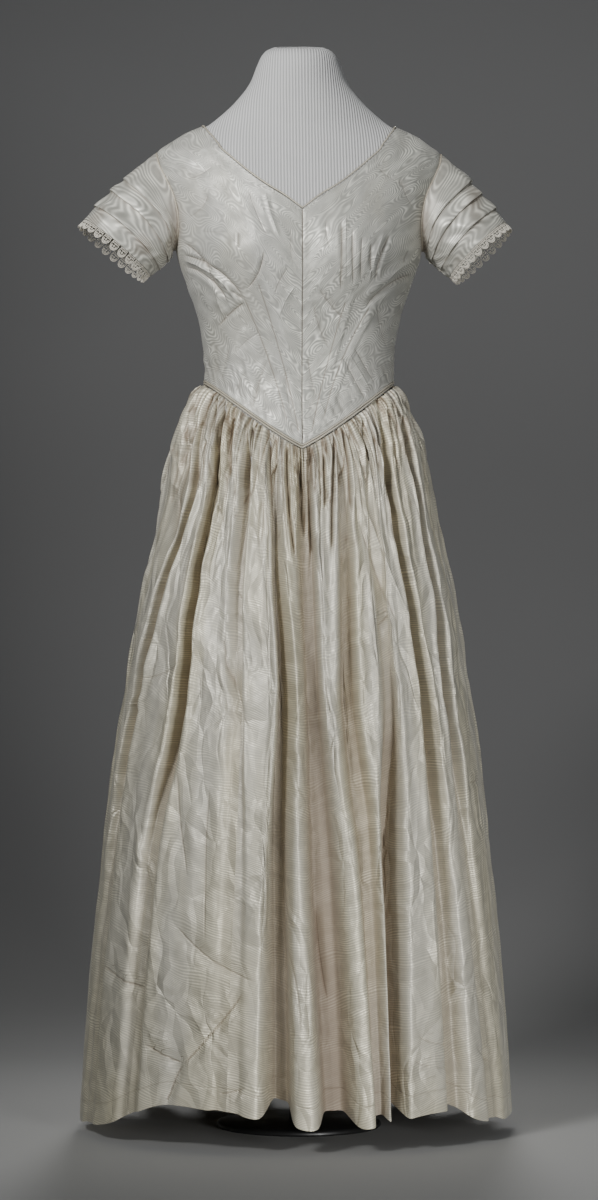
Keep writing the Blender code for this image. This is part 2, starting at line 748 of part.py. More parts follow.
def skirt_ring(folds, share, drop=None):
    """One ring of (point, outward direction, turn) columns: a given drop below the seam, or a
    given share of the way from the gathers' end to the hem. A column's turn depends on its height
    and its height on its turn, so both are worked out in a few passes."""
    ring = []
    for index in range(4 * len(folds)):
        height = LEVELS["knee"]
        for _ in range(HEIGHT_PASSES):
            turn, fold, part = ring_columns(folds, height)[index]
            if drop is not None:
                height = waist_bottom(turn) - drop
                continue
            depth_at_hem = folds[fold].deep_hem * part if fold is not None else 0.0
            height = mix(waist_bottom(turn) - GATHERS_END, hem_height(turn, depth_at_hem), share)
        place, out = hang_point(turn, height)
        depth = fold_depth(folds[fold], height) * part if fold is not None else 0.0
        depth *= ease((waist_bottom(turn) - height) / FOLDS_OPEN)
        ring.append((place - out * depth, out, turn))
    return ring


def gather_ring(folds, drop, swing):
    """A ring just under the seam, where each column of the folds is split into gathers."""
    coarse = skirt_ring(folds, 0.0, drop)
    fine = []
    for i, (_, _, turn) in enumerate(coarse):
        after = coarse[(i + 1) % len(coarse)][2]
        if i == len(coarse) - 1:
            after += 2 * math.pi
        for k in range(GATHERS_PER_COLUMN):
            part = k / GATHERS_PER_COLUMN
            t = mix(turn, after, part)
            place, out = hang_point(t, waist_bottom(t) - drop)
            dip = coarse[i][0].lerp(coarse[(i + 1) % len(coarse)][0], part) - place
            depth = max(0.0, -dip.dot(out)) * ease(drop / GATHERS_FOLLOW)
            side = 1 if len(fine) % 2 else -1
            fine.append((place - out * (depth + swing - side * swing), out, t))
    return fine


def thickened(ring, base_ring):
    """The ring's inner side. A steep wall is moved in further, so that it keeps its thickness."""
    inner = []
    for i, (point, out, _) in enumerate(ring):
        before, after = ring[i - 1][0], ring[(i + 1) % len(ring)][0]
        base_before, base_after = base_ring[i - 1], base_ring[(i + 1) % len(ring)]
        run = (base_ring[i] - base_before).length + (base_after - base_ring[i]).length
        length = (point - before).length + (after - point).length
        shift = min(STEEPEST_CLOTH, SKIRT_CLOTH * max(1.0, length / run))
        inner.append(point - out * shift)
    return inner


def seam_shift(ring, inner, index, direction):
    """A column moved along its ring by half a seam gap, outer and inner."""
    point = ring[index % len(ring)][0]
    toward = ring[(index + direction) % len(ring)][0]
    move = (toward - point).normalized() * (SEAM_GAP / 2)
    move.z = 0.0
    return point + move, inner[index % len(ring)] + move


def add_skirt(silk, into):
    """The breadths, each cut from the same rings between two of their columns."""
    folds = all_folds()
    rings = [gather_ring(folds, d, s) for d, s in zip(GATHER_DROPS, GATHER_SWINGS)]
    rings += [skirt_ring(folds, r / LOWER_RINGS) for r in range(LOWER_RINGS + 1)]
    inners = []
    for ring in rings:
        base = [hang_point(turn, point.z)[0] for point, _, turn in ring]
        inners.append(thickened(ring, base))
    for piece in BREADTHS:
        first = 4 * piece.first_fold + piece.first_part
        last = 4 * piece.last_fold + piece.last_part
        outer_rows, inner_rows = [], []
        for ring, inner in zip(rings, inners):
            times = len(ring) // (4 * len(folds))
            start, end = first * times, last * times
            columns = [(ring[i % len(ring)][0], inner[i % len(ring)]) for i in range(start, end + 1)]
            columns[0] = seam_shift(ring, inner, start, 1)
            columns[-1] = seam_shift(ring, inner, end, -1)
            outer_rows.append([c[0] for c in columns])
            inner_rows.append([c[1] for c in columns])
        add_object(piece.name, wall(piece.name, outer_rows, inner_rows), silk, into)


# The form and its stand

def add_form(jersey, into):
    """The limbless form: rings up to a rounded, tilted neck top, closed at both ends."""
    shape = bmesh.new()
    rings = []
    for row in BODY:
        ring = []
        for i in range(FORM_RING_POINTS):
            turn = 2 * math.pi * i / FORM_RING_POINTS
            point = body_point(turn, row.height, FORM_CUP_FULL)
            normal = body_normal(turn, min(row.height, NECK_ROUNDS), FORM_CUP_FULL)
            ring.append(shape.verts.new(point - normal * FORM_EASE))
        rings.append(ring)
    for lower, upper in zip(rings, rings[1:]):
        bridge(shape, upper, lower, closed=True)
    shape.faces.new(rings[0])
    shape.faces.new(rings[-1])
    mesh = mesh_from("dress_form", shape)
    add_object("dress_form", mesh, jersey, into)


def add_stand(steel, into):
    """A round base plate with an eased rim, and the pole that carries the form."""
    bpy.ops.mesh.primitive_cylinder_add(vertices=BASE_SIDES, radius=BASE_RADIUS, depth=BASE_THICK)
    base = bpy.context.object
    base.name = "stand_base"
    base.location.z = BASE_THICK / 2
    rim = base.modifiers.new("rim", "BEVEL")
    rim.width = BASE_RIM
    rim.segments = 1
    rim.limit_method = "ANGLE"
    bottom, top = BASE_THICK + SEAM_GAP, BODY[0].height - SEAM_GAP
    bpy.ops.mesh.primitive_cylinder_add(vertices=POLE_SIDES, radius=POLE_RADIUS, depth=top - bottom)
    pole = bpy.context.object
    pole.name = "stand_pole"
    pole.location.z = (bottom + top) / 2
    for piece in (base, pole):
        piece.data.materials.append(steel)
        piece.data.shade_smooth()
        piece.data.set_sharp_from_angle(angle=math.radians(40))
        for owner in list(piece.users_collection):
            owner.objects.unlink(piece)
        into.objects.link(piece)


def main():
    for old in list(bpy.data.objects):
        bpy.data.objects.remove(old)
    into = collection_named("silk_dress")
    silk = material_named("silk", (0.66, 0.62, 0.53), 0.45)
    thread = material_named("lace_thread", (0.72, 0.68, 0.60), 0.8)
    jersey = material_named("form_jersey", (0.72, 0.72, 0.72), 0.9)
    steel = material_named("stand_steel", (0.02, 0.02, 0.02), 0.5, 0.2)
    add_bodice(silk, into)
    add_piping(silk, into)
    add_sleeves(silk, into)
    add_lace(thread, into)
    add_skirt(silk, into)
    add_form(jersey, into)
    add_stand(steel, into)


main()
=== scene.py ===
"""Looks of a short-sleeved dress of watered silk on its limbless dress form.

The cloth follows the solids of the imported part: the same body, seam lines, sleeves and skirt folds,
worked out here at a finer step, with gathers, creases, tucks and lace added. The dress faces -Y, the
wearer's left is +X and every size is in metres unless a note says otherwise. A turn is an angle round
the body, 0 at the centre front and a quarter turn at the wearer's left side.
"""

import math
from collections import namedtuple

import bmesh
import bpy
import numpy as np
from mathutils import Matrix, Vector


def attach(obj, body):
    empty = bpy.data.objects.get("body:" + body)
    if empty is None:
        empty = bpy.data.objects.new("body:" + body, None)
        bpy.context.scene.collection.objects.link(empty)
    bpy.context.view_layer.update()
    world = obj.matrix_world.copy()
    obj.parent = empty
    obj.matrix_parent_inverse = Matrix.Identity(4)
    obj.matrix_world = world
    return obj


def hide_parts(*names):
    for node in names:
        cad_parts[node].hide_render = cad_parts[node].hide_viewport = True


bl_info = {
    "name": "Watered Silk Dress",
    "version": (1, 0, 0),
    "blender": (4, 5, 0),
    "location": "View3D > Sidebar > Silk Dress",
    "description": "Builds a watered silk dress on its dress form, piece by piece",
    "category": "Object",
}

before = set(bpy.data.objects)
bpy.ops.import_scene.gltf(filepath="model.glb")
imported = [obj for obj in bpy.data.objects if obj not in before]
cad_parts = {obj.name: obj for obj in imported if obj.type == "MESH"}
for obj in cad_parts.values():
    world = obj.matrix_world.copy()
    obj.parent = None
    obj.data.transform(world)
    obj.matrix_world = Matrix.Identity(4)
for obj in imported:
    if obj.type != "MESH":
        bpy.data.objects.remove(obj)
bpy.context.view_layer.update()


# Tables

def table(columns, *rows):
    """Rows of values whose columns have names."""
    row = namedtuple("Row", columns)
    return [row(*values) for values in rows]


Crease = namedtuple("Crease", "x0 z0 x1 z1 bend width depth")


def creases(*rows):
    """Creases from rows in millimetres."""
    return [Crease(*(value / 1000 for value in row)) for row in rows]


# Seam heights above the floor
WAIST_SIDE = 0.951
WAIST_POINT = 0.866
WAIST_CURVE = 1.12
NECK_FRONT = 1.166
NECK_BACK = 1.236
SHOULDER_NECK = 1.277
SHOULDER_TIP = 1.242
UNDERARM = 1.121
ARMHOLE_TURN = math.radians(20)
ARM_HALF_DEPTH = 0.09

# How far the cloth's outer side stands from the body, and the form's cover inside it
BODICE_OUT = 0.0029
FORM_EASE = 0.0006
CORD_RADIUS = 0.0012
CORD_OUT = 0.0026
SEAM_GAP = 0.0004
ARMHOLE_CORD_RADIUS = 0.0011

# Turnings on each side of a piece's flat cut, and the least share of its outline that it fills
SEAM_ALLOWANCE = 0.012
LEAST_CUT_SHARE = 0.31

# The body inside the bodice. pinch draws a ring in towards its two ends; lean raises its back.
BODY = table(
    "height half_width front back pinch lean",
    (0.76, 0.126, 0.09, 0.1, -0.1, 0),
    (0.8, 0.13, 0.093, 0.104, -0.1, 0),
    (0.86, 0.127, 0.094, 0.1, -0.1, 0),
    (0.91, 0.121, 0.089, 0.088, -0.1, 0),
    (0.951, 0.1185, 0.085, 0.08, -0.1, 0),
    (0.993, 0.12, 0.088, 0.081, -0.1, 0),
    (1.031, 0.126, 0.094, 0.085, -0.1, 0),
    (1.07, 0.1385, 0.1, 0.09, -0.08, 0),
    (1.115, 0.1535, 0.102, 0.095, -0.05, 0),
    (1.15, 0.1585, 0.099, 0.097, -0.02, 0),
    (1.19, 0.169, 0.09, 0.094, 0.05, 0),
    (1.215, 0.178, 0.081, 0.087, 0.15, 0),
    (1.23, 0.181, 0.076, 0.082, 0.25, 0),
    (1.242, 0.179, 0.072, 0.078, 0.33, 0),
    (1.254, 0.164, 0.068, 0.074, 0.4, 0),
    (1.268, 0.141, 0.063, 0.07, 0.4, 0),
    (1.277, 0.121, 0.06, 0.067, 0.34, 0),
    (1.29, 0.1035, 0.057, 0.063, 0.24, 0),
    (1.31, 0.082, 0.053, 0.058, 0.08, 0.04),
    (1.335, 0.063, 0.05, 0.054, 0, 0.1),
    (1.356, 0.0545, 0.048, 0.051, 0, 0.16),
    (1.368, 0.049, 0.045, 0.047, 0, 0.18),
    (1.376, 0.042, 0.039, 0.041, 0, 0.18),
    (1.38, 0.033, 0.031, 0.033, 0, 0.18),
)
CUP_OUT = 0.070
CUP_HEIGHT = 1.112
CUP_WIDE = 0.046
CUP_TALL = 0.050
CUP_FULL = 0.017
CUP_FADE = 0.5
FORM_CUP_FULL = 0.009
FORM_FOOT = 0.760
TURN_STEP = 0.02
HEIGHT_STEP = 0.002

NECK_EDGE = table(
    "share height",
    (0, NECK_FRONT),
    (0.1, 1.179),
    (0.295, 1.202),
    (0.5, 1.236),
    (0.62, 1.252),
    (0.8, 1.267),
    (1, SHOULDER_NECK),
)

# Up a bodice piece, the share of its height where the side seam ends and where the shoulder starts,
# then its columns and rows
SIDE_TOP = 0.40
ARMHOLE_TOP = 0.84
BODICE_FRONT_GRID = (96, 176)
BODICE_BACK_GRID = (64, 100)

# Cuffs, given as if on the wearer's left, and the folded edges of the tucks along each sleeve
CUFFS = table(
    "side mirror upper_x upper_z lower_x lower_z tilt",
    ("left", 1, 0.264, 1.154, 0.194, 1.088, 0.2),
    ("right", -1, 0.273, 1.157, 0.191, 1.088, 0.08),
)
CUFF_HALF_DEEP = 0.041
CUFF_FORWARD = 0.004
CUFF_MEAN_RADIUS = 0.045
SLEEVE_BULGE = 0.002
SLEEVE_HEAD = 0.25
SLEEVE_OUT = 0.0041
SLEEVE_START = 0.0015
SLEEVE_WRINKLE = 0.0014
HEAD_CRIMP = 0.0008
SLEEVE_COLUMNS = 145
# How much painted shade the sleeve gets at the armpit and along the armhole
ARMPIT_SHADE = 0.42
ARMHOLE_SHADE = 0.20
TUCK_DEPTH = 0.0030
FIRST_TUCK_START = 0.4
TUCK_FLATTENING = 0.7
TUCKS = table(
    "top under",
    (0.42, 0.14),
    (0.6, 0.38),
    (0.82, 0.7),
)

# How far back under a tuck's lip its fold lies, and how high
TUCK_FOLD = (
    (-0.0005, 0.0027), (-0.0007, 0.0023), (-0.0005, 0.0019), (0.0006, 0.0017), (0.0022, 0.0016),
    (0.0038, 0.00155), (0.0043, 0.0011), (0.0038, 0.0007), (0.0018, 0.0005), (-0.0006, 0.0004),
)

LACE_DEEP = 0.0125
LACE_THREAD_RADIUS = 0.00044
LACE_OFF_CUFF = 0.000848
LACE_BELOW_CUFF = 0.0004
SCALLOPS = 26

# The skirt's outline, which its fold crests reach
HANG = table(
    "height half_width front back",
    (0.96, 0.149, 0.094, 0.128),
    (0.905, 0.16, 0.106, 0.152),
    (0.865, 0.169, 0.117, 0.166),
    (0.775, 0.183, 0.144, 0.19),
    (0.673, 0.205, 0.176, 0.214),
    (0.571, 0.223, 0.202, 0.236),
    (0.468, 0.24, 0.222, 0.255),
    (0.366, 0.253, 0.239, 0.272),
    (0.263, 0.265, 0.253, 0.288),
    (0.161, 0.274, 0.264, 0.302),
    (0.02, 0.284, 0.275, 0.318),
)
SPRING = 0.032
HEM = table(
    "share height",
    (-1, 0.012),
    (-0.9, 0.019),
    (-0.61, 0.055),
    (-0.32, 0.047),
    (0.08, 0.028),
    (0.21, 0.029),
    (0.6, 0.045),
    (0.82, 0.025),
    (1, 0.02),
)
HEM_BACK = 0.015
HEM_BACK_SETTLES = 0.35
VALLEY_LIFT = 0.5

# Fold valleys of the front: a share of the half-width at six levels, then the depth at four, how wide
# the valley is and how far its bottom slides under one lip, to the wearer's left where it is above 0
LEVELS = (0.951, 0.82, 0.70, 0.55, 0.356, 0.05)
DEPTH_LEVELS = (0.951, 0.82, 0.55, 0.356, 0.05)
FRONT_FOLDS = table(
    "waist hip thigh knee calf hem deep_hip deep_knee deep_calf deep_hem wide lean",
    (-0.9, -0.8, -0.88, -0.94, -0.96, -0.96, 0.018, 0.02, 0.01, 0.004, 1, -0.5),
    (-0.8, -0.66, -0.7, -0.7, -0.775, -0.79, 0.018, 0.034, 0.014, 0.006, 0.8, -0.9),
    (-0.52, -0.42, -0.415, -0.378, -0.354, -0.36, 0.017, 0.011, 0.006, 0.005, 0.9, 0.5),
    (-0.33, -0.23, -0.187, -0.131, -0.146, -0.136, 0.013, 0.034, 0.046, 0.05, 0.75, -1),
    (0, 0.01, 0.018, 0.04, 0.078, 0.135, 0.018, 0.03, 0.038, 0.042, 1.25, 0.1),
    (0.33, 0.31, 0.275, 0.245, 0.3, 0.33, 0.014, 0.026, 0.02, 0.022, 1, 0.3),
    (0.52, 0.5, 0.49, 0.479, 0.432, 0.404, 0.003, 0.02, 0.05, 0.04, 0.95, 0.7),
    (0.77, 0.655, 0.66, 0.685, 0.676, 0.685, 0.02, 0.032, 0.022, 0.02, 0.8, 0.5),
    (0.93, 0.85, 0.85, 0.82, 0.82, 0.86, 0.02, 0.026, 0.01, 0.008, 0.9, 0.6),
)
BACK_FOLDS = 11
BACK_FROM = math.radians(92)
BACK_TO = math.radians(268)
BACK_DEPTHS = (0.018, 0.036, 0.044, 0.048)
BACK_UNEVEN_PLACE = 0.045
BACK_DRIFT = 0.03
BACK_UNEVEN_DEPTH = 0.25
BACK_LEAN = 0.9
VALLEY_HALF_WIDTHS = (0.012, 0.012, 0.015, 0.018, 0.024, 0.030)
WIDEST_VALLEY = 0.5
VALLEY_SHARE_HIGH = 0.55
VALLEY_SHARE_LOW = 0.72
PANEL_FLATNESS = 0.6
FOLDS_OPEN = 0.055
FOLD_LIP = 0.0045
# How much painted shade a fold's valley gets, how deep it must be for all of it, and how deep for its full
# lean
SHADE_OF_A_FOLD = 0.70
DEEP_ENOUGH_TO_SHADE = 0.028
DEEP_ENOUGH_TO_LEAN = 0.02
HEIGHT_PASSES = 4
TABLE_STEP = 0.004
TABLE_HEIGHTS = np.arange(0.0, 1.0, TABLE_STEP)

# The skirt's grid: rows near the seam, over how long a drop, and rows below them, then columns a fold
FIRST_DROP = 0.0006
GATHERED_DROP = 0.085
GATHERED_ROWS = 46
HANGING_ROWS = 107
FOLD_COLUMNS_IN_FRONT = 60
FOLD_COLUMNS_BEHIND = 30

# Skirt breadths: where each starts and ends, counted in folds, with halves at the crests between
BREADTHS = table(
    "node first last",
    ("skirt_front", 2, 5.5),
    ("skirt_side_front_left", 5.5, 8.5),
    ("skirt_side_back_left", 8.5, 11),
    ("skirt_back_left", 11, 14),
    ("skirt_back_right", 14, 17),
    ("skirt_side_back_right", 17, 19.5),
    ("skirt_side_front_right", -0.5, 2),
)

# Gathers under the waist: for each size of pipe how many go round, how far they stand out, the share
# of that at the seam, the drop at which they are fullest and the drop over which they die away
GATHERS = table(
    "count height start fullest fades",
    (84, 0.007, 0.6, 0.004, 0.024),
    (44, 0.007, 0.6, 0.012, 0.052),
    (24, 0.006, 0.0, 0.045, 0.085),
)
GATHER_SEAM_OUT = 0.0036
GATHERED_ROUND = 0.75
# Half the width of the painted shade in each gap between the gathers
GAP_HALF_WIDTH = 0.0012
GATHER_SEED = 11

# Creases, in millimetres: from (x0, z0) to (x1, z1) as seen from the front or the back, how
# far the middle bows to the right, the width, and the depth, above 0 for a trough and below for a ridge
RIGHT_FRONT_CREASES = creases(
    (-81, 1134, -81, 1113, 0, 1.4, 1.8),
    (-49, 1112, -71, 1062, -6, 2, 2.6),
    (-58, 1108, -66, 1080, -4, 2, -1.2),
    (-72, 1047, -106, 1018, 2, 3, 2.6),
    (-151, 1112, -72, 1050, -8, 2.6, 2.6),
    (-149, 1105, -82, 1047, -8, 2.4, -2.2),
    (-147, 1097, -92, 1045, -7, 2.4, 2.4),
    (-151, 1128, -108, 1066, -7, 3, 2.2),
    (-90, 1062, -74, 1050, 0, 2, 2),
    (-46, 1186, -28, 1124, 2, 2.2, -2),
    (-68, 1192, -44, 1128, 2, 6, 1.2),
    (-8, 1068, -30, 1024, 3, 4, -1.8),
    (-18, 1090, -36, 1052, 2, 4, 1.2),
    (-43, 976, -62, 915, 2, 2.4, 1.4),
    (-21, 966, -10, 893, 2, 3.2, 1.3),
    (-31, 940, -24, 896, 0, 3, -1.1),
    (-91, 994, -102, 950, 0, 2.2, 1),
    (-85, 995, -96, 955, 0, 2.2, -0.9),
    (-109, 1066, -97, 1030, 1, 3.4, -2),
    (-70, 962, -82, 936, 1, 2.6, 1),
    (-118, 1186, -146, 1156, -6, 6, 1.2),
    (-146, 1206, -112, 1222, 3, 7, 1.1),
    (-128, 1139, -94, 1136, 2, 3, 0.8),
    (-50, 1010, -84, 982, 4, 5, 0.8),
    (-14, 1140, -12, 1092, 2, 4, 0.9),
)
LEFT_FRONT_CREASES = creases(
    (49, 1150, 48, 1056, 0, 2, 2.4),
    (55, 1160, 54, 1070, 1, 2.4, -1.6),
    (63, 1140, 64, 1067, 1, 2, 2.4),
    (75, 1130, 74, 1072, 1, 2.2, 1.6),
    (87, 1122, 89, 1074, 2, 2, 2.2),
    (112, 1134, 92, 1072, 3, 2.2, 2.6),
    (104, 1136, 84, 1070, 3, 2.4, -1.6),
    (136, 1116, 130, 1098, 0, 1.4, 1.6),
    (146, 1088, 78, 1038, 7, 4.2, 2.6),
    (148, 1104, 100, 1062, 7, 5, -1.4),
    (20, 1064, 56, 1024, 2, 5, 1.7),
    (13, 1048, 36, 986, 3, 4.2, 1.4),
    (50, 982, 83, 924, 0, 2.6, 1.2),
    (58, 986, 90, 936, 0, 2.6, -1.1),
    (66, 992, 96, 944, 0, 2.6, 1.1),
    (7, 982, 21, 920, 2, 3.2, 1.4),
    (14, 950, 30, 905, 1, 2.8, -1.2),
    (96, 1046, 112, 990, 3, 6, 0.8),
    (128, 1210, 146, 1168, 4, 6, 1),
    (96, 1222, 140, 1196, 4, 7, 1),
    (30, 1150, 34, 1110, 2, 3.6, 0.9),
)
BACK_CREASES = creases(
    (-30, 1190, -52, 1110, 4, 6, 1.2),
    (22, 1160, 50, 1090, 3, 6, 1.2),
    (-140, 1122, -60, 1060, -8, 5, 1.8),
    (142, 1118, 70, 1052, 8, 5, 1.8),
    (-100, 990, -30, 966, 4, 5, 1.6),
    (104, 986, 26, 972, -4, 5, 1.6),
    (-96, 1008, -34, 990, 3, 4.4, -1.2),
    (94, 1010, 40, 994, -3, 4.4, -1.2),
    (-12, 1060, -18, 980, 3, 4, 1),
    (14, 1046, 20, 974, -3, 4, 1),
)
SKIRT_FRONT_CREASES = creases(
    (-254, 216, -202, 193, 4, 6, 3),
    (-166, 276, -62, 208, 10, 7, 2.4),
    (-80, 196, -157, 103, -2, 5.6, 4.6),
    (-157, 104, -177, 56, 2, 5.6, 4.6),
    (-202, 126, -150, 106, 3, 7, 3.6),
    (-196, 140, -170, 134, 2, 6, -2.4),
    (-112, 72, -76, 82, 2, 5, 2.4),
    (-98, 62, -78, 70, 1, 4.4, -2),
    (74, 806, 140, 626, 4, 8, -3.4),
    (70, 780, 118, 640, 4, 8, 2.6),
    (88, 640, 106, 655, 1, 4.4, 2.8),
    (-206, 574, -150, 602, 6, 6, 1.8),
    (-222, 540, -186, 560, 3, 6, -2.4),
    (-102, 628, -92, 560, 2, 5, 3),
    (-92, 570, -66, 510, 4, 6, 1.6),
    (-160, 470, -148, 330, 4, 8, 2),
    (-120, 450, -126, 250, 4, 9, 2),
    (-212, 420, -190, 300, 4, 8, -1.8),
    (208, 446, 244, 446, 2, 4, 1.6),
    (12, 300, 30, 180, 3, 6, 2.4),
    (0, 240, 24, 130, 4, 5, -2),
    (-26, 250, -10, 150, -4, 6, 2.2),
    (135, 140, 188, 124, 3, 5, 1.6),
    (130, 110, 180, 98, 3, 5, 1.4),
    (140, 86, 190, 92, -3, 5, -1.4),
    (214, 120, 244, 96, 3, 5, 1.6),
    (150, 520, 172, 380, 4, 7, 2),
    (158, 330, 166, 200, 3, 7, -1.6),
    (-146, 880, -172, 790, 2, 6, 3),
    (104, 850, 116, 740, 3, 6, 2.4),
    (160, 840, 186, 740, 3, 6, 2.2),
    (-112, 830, -98, 760, 3, 5, 2.2),
)
SKIRT_BACK_CREASES = creases(
    (-210, 250, -110, 180, 6, 7, 3.2),
    (-60, 210, -140, 100, -3, 6, 4),
    (50, 330, 120, 250, 6, 7, 3),
    (190, 180, 110, 90, -4, 6, 3.6),
    (-170, 560, -110, 590, 4, 6, 2.8),
    (20, 610, 70, 570, 3, 6, 2.8),
    (110, 730, 150, 640, 4, 7, -2.6),
    (-60, 780, -100, 680, 4, 7, -2.6),
    (-20, 420, 0, 300, 4, 7, 2),
    (200, 430, 180, 310, 4, 7, 2),
    (-220, 400, -190, 330, 4, 6, -2),
    (10, 130, 70, 110, 3, 5, 1.8),
)
# Long narrow gaps between the gathers of the front, which run on into its folds, in millimetres too
LONG_GATHERS = creases(
    (-99, 930, -117, 806, 0, 2.4, 10),
    (-123, 878, -131, 826, 0, 2.1, 6),
    (-136, 910, -168, 730, 3, 9, 5),
    (-89, 906, -92, 822, 2, 3.4, 7.5),
    (-72, 860, -79, 780, 2, 2.1, 6),
    (-64, 890, -66, 836, 1, 1.8, 5),
    (-42, 882, -37, 740, 1, 2.1, 9.5),
    (-20, 872, -10, 712, 4, 2, 8.5),
    (-1, 856, -1, 746, 4, 2, 5),
    (11, 874, 11, 718, 3, 2.1, 6),
    (27, 858, 27, 784, 0, 1.7, 7),
    (40, 882, 34, 724, 0, 2.1, 8.5),
    (51, 894, 61, 776, -2, 2.1, 8.5),
    (76, 906, 81, 850, -1, 1.7, 5),
    (92, 900, 115, 770, -2, 2.3, 9),
    (110, 918, 124, 836, -1, 1.8, 6.5),
    (122, 926, 147, 806, -1, 2.1, 9),
    (131, 916, 153, 800, -1, 1.7, 6),
    (137, 934, 146, 880, 0, 1.8, 5),
    (-108, 940, -116, 880, 0, 1.8, 5),
)

# Over what share of its length a crease starts, the deepest one and how far from one its edge is drawn
CREASE_TAPER = 0.16
DEEPEST_CREASE = 0.0035
CREASE_REACH = 0.012
LONG_GATHER_TAPER = 0.12

# The boned darts of the fronts and the seam of each back, as lines seen from the front
Line = namedtuple("Line", "x0 z0 x1 z1 bend")
RIGHT_DARTS = [Line(-0.071, 1.048, -0.020, 0.902, -0.0035), Line(-0.055, 1.068, -0.005, 0.886, -0.004)]
LEFT_DARTS = [Line(0.084, 1.040, 0.028, 0.905, 0.006), Line(0.0535, 1.046, 0.012, 0.886, 0.002)]
LEFT_BACK_SEAMS = [Line(0.118, 1.165, 0.030, 0.955, -0.020)]
RIGHT_BACK_SEAMS = [Line(-0.118, 1.165, -0.030, 0.955, 0.020)]
DART_GROOVE_WIDE = 0.0011
DART_GROOVE_DEEP = 0.0007
CASING_HEIGHT = 0.0008
CASING_WIDE = 0.0075
CASING_MIDDLE = 0.0038
FRONT_SEAM_WIDE = 0.0009

# Near its seams the bodice is calm, above the waist it is crumpled, and it is shaded where it lies
# deep and where it meets the arm
SEAM_CALM = 0.012
WAIST_CRUMPLE = 0.0013
WAIST_CRUMPLE_REACH = 0.045
BODICE_SHADE_DEPTH = 0.0028
ARM_SHADE_REACH = 0.007

# Ribs of the silk to a metre, the size of the jersey's ribs and rows, and how high the hem's facing ends
SILK_RIBS = 760.0
JERSEY_RIB = 0.0040
JERSEY_ROW = 0.0012
HEM_FACING = 0.027

# The stand
BASE_RADIUS = 0.105
BASE_THICK = 0.008
POLE_RADIUS = 0.0125

# The camera: its sensor's width in millimetres, how tall its view is at 5 m, and its height
SENSOR_WIDE = 36.0
VIEW_TALL = 1.536
CAMERA_HEIGHT = 0.673

QUARTER = math.pi / 2
MIRROR = np.array([-1.0, 1.0, 1.0])
TURNS = np.linspace(-math.pi, math.pi, 1441)


# Reading the tables

def column(rows, name):
    return np.array([getattr(row, name) for row in rows])


def smooth_line(xs, ys, at):
    """A monotone cubic through the points (xs, ys), level past its ends. xs may run either way."""
    if xs[0] > xs[-1]:
        xs, ys = xs[::-1], ys[::-1]
    rises = np.diff(ys) / np.diff(xs)
    before, after = rises[:-1], rises[1:]
    alike = before * after > 0
    slopes = np.concatenate([rises[:1], np.zeros(len(before)), rises[-1:]])
    slopes[1:-1][alike] = 2 * before[alike] * after[alike] / (before + after)[alike]
    at = np.clip(at, xs[0], xs[-1])
    i = np.clip(np.searchsorted(xs, at) - 1, 0, len(rises) - 1)
    step = xs[i + 1] - xs[i]
    t = (at - xs[i]) / step
    cubic = 2 * (ys[i] - ys[i + 1]) + step * (slopes[i] + slopes[i + 1])
    square = 3 * (ys[i + 1] - ys[i]) - step * (2 * slopes[i] + slopes[i + 1])
    return ((cubic * t + square) * t + step * slopes[i]) * t + ys[i]


def read(rows, key, wanted, at):
    return smooth_line(column(rows, key), column(rows, wanted), at)


def stacked(*parts):
    return np.stack(np.broadcast_arrays(*parts), axis=-1)


def lengths(points):
    """Distance from one point of a line to the next."""
    return np.linalg.norm(np.diff(points, axis=0), axis=-1)


def run(steps):
    """Distance along a line from its first point, worked out from its steps."""
    return np.concatenate([0 * steps[:1], np.cumsum(steps, axis=0)])


def mix(a, b, t):
    return a + (b - a) * t


def ease(t):
    """0 to 1 with a gentle start and end."""
    t = np.clip(t, 0.0, 1.0)
    return t * t * (3 - 2 * t)


def unit(vectors):
    return vectors / np.maximum(np.linalg.norm(vectors, axis=-1, keepdims=True), 1e-12)


def times(vectors, amounts):
    return vectors * np.asarray(amounts)[..., None]


def ripple(u, v, seed, wavelength, waves=8):
    """Soft unevenness of about one wavelength: seeded sines in all directions."""
    dice = np.random.default_rng(seed)
    total = 0.0
    for _ in range(waves):
        heading, start = dice.uniform(0, 2 * math.pi, 2)
        size = wavelength * dice.uniform(0.7, 1.6)
        total = total + np.sin(2 * math.pi * (u * math.cos(heading) + v * math.sin(heading)) / size + start)
    return total / math.sqrt(waves)


# The body and its seam lines

def body_point(turn, height, cup=CUP_FULL):
    """Points on the figure that the bodice fits."""
    side, ahead = np.sin(turn), np.cos(turn)
    deep = np.where(ahead > 0, read(BODY, "height", "front", height), read(BODY, "height", "back", height))
    x = read(BODY, "height", "half_width", height) * side
    y = -deep * ahead * (1 - read(BODY, "height", "pinch", height) * side**2)
    out = (np.abs(x) - CUP_OUT) / CUP_WIDE
    up = (height - CUP_HEIGHT) / CUP_TALL
    y = y - cup * np.exp(-out**2 - up**2) * ease(ahead / CUP_FADE)
    return stacked(x, y, height + read(BODY, "height", "lean", height) * y)


def body_normal(turn, height, cup=CUP_FULL):
    along = body_point(turn + TURN_STEP, height, cup) - body_point(turn - TURN_STEP, height, cup)
    up = body_point(turn, height + HEIGHT_STEP, cup) - body_point(turn, height - HEIGHT_STEP, cup)
    return unit(np.cross(along, up))


def on_body(turn, height, out):
    return body_point(turn, height) + body_normal(turn, height) * out


def waist_height(turn):
    pointed = mix(WAIST_POINT, WAIST_SIDE, np.abs(np.sin(turn)) ** WAIST_CURVE)
    return np.where(np.cos(turn) > 0, pointed, WAIST_SIDE)


def neck_height(turn):
    front = read(NECK_EDGE, "share", "height", np.abs(np.sin(turn)))
    return np.where(np.cos(turn) > 0, front, mix(NECK_BACK, SHOULDER_NECK, np.sin(turn) ** 2))


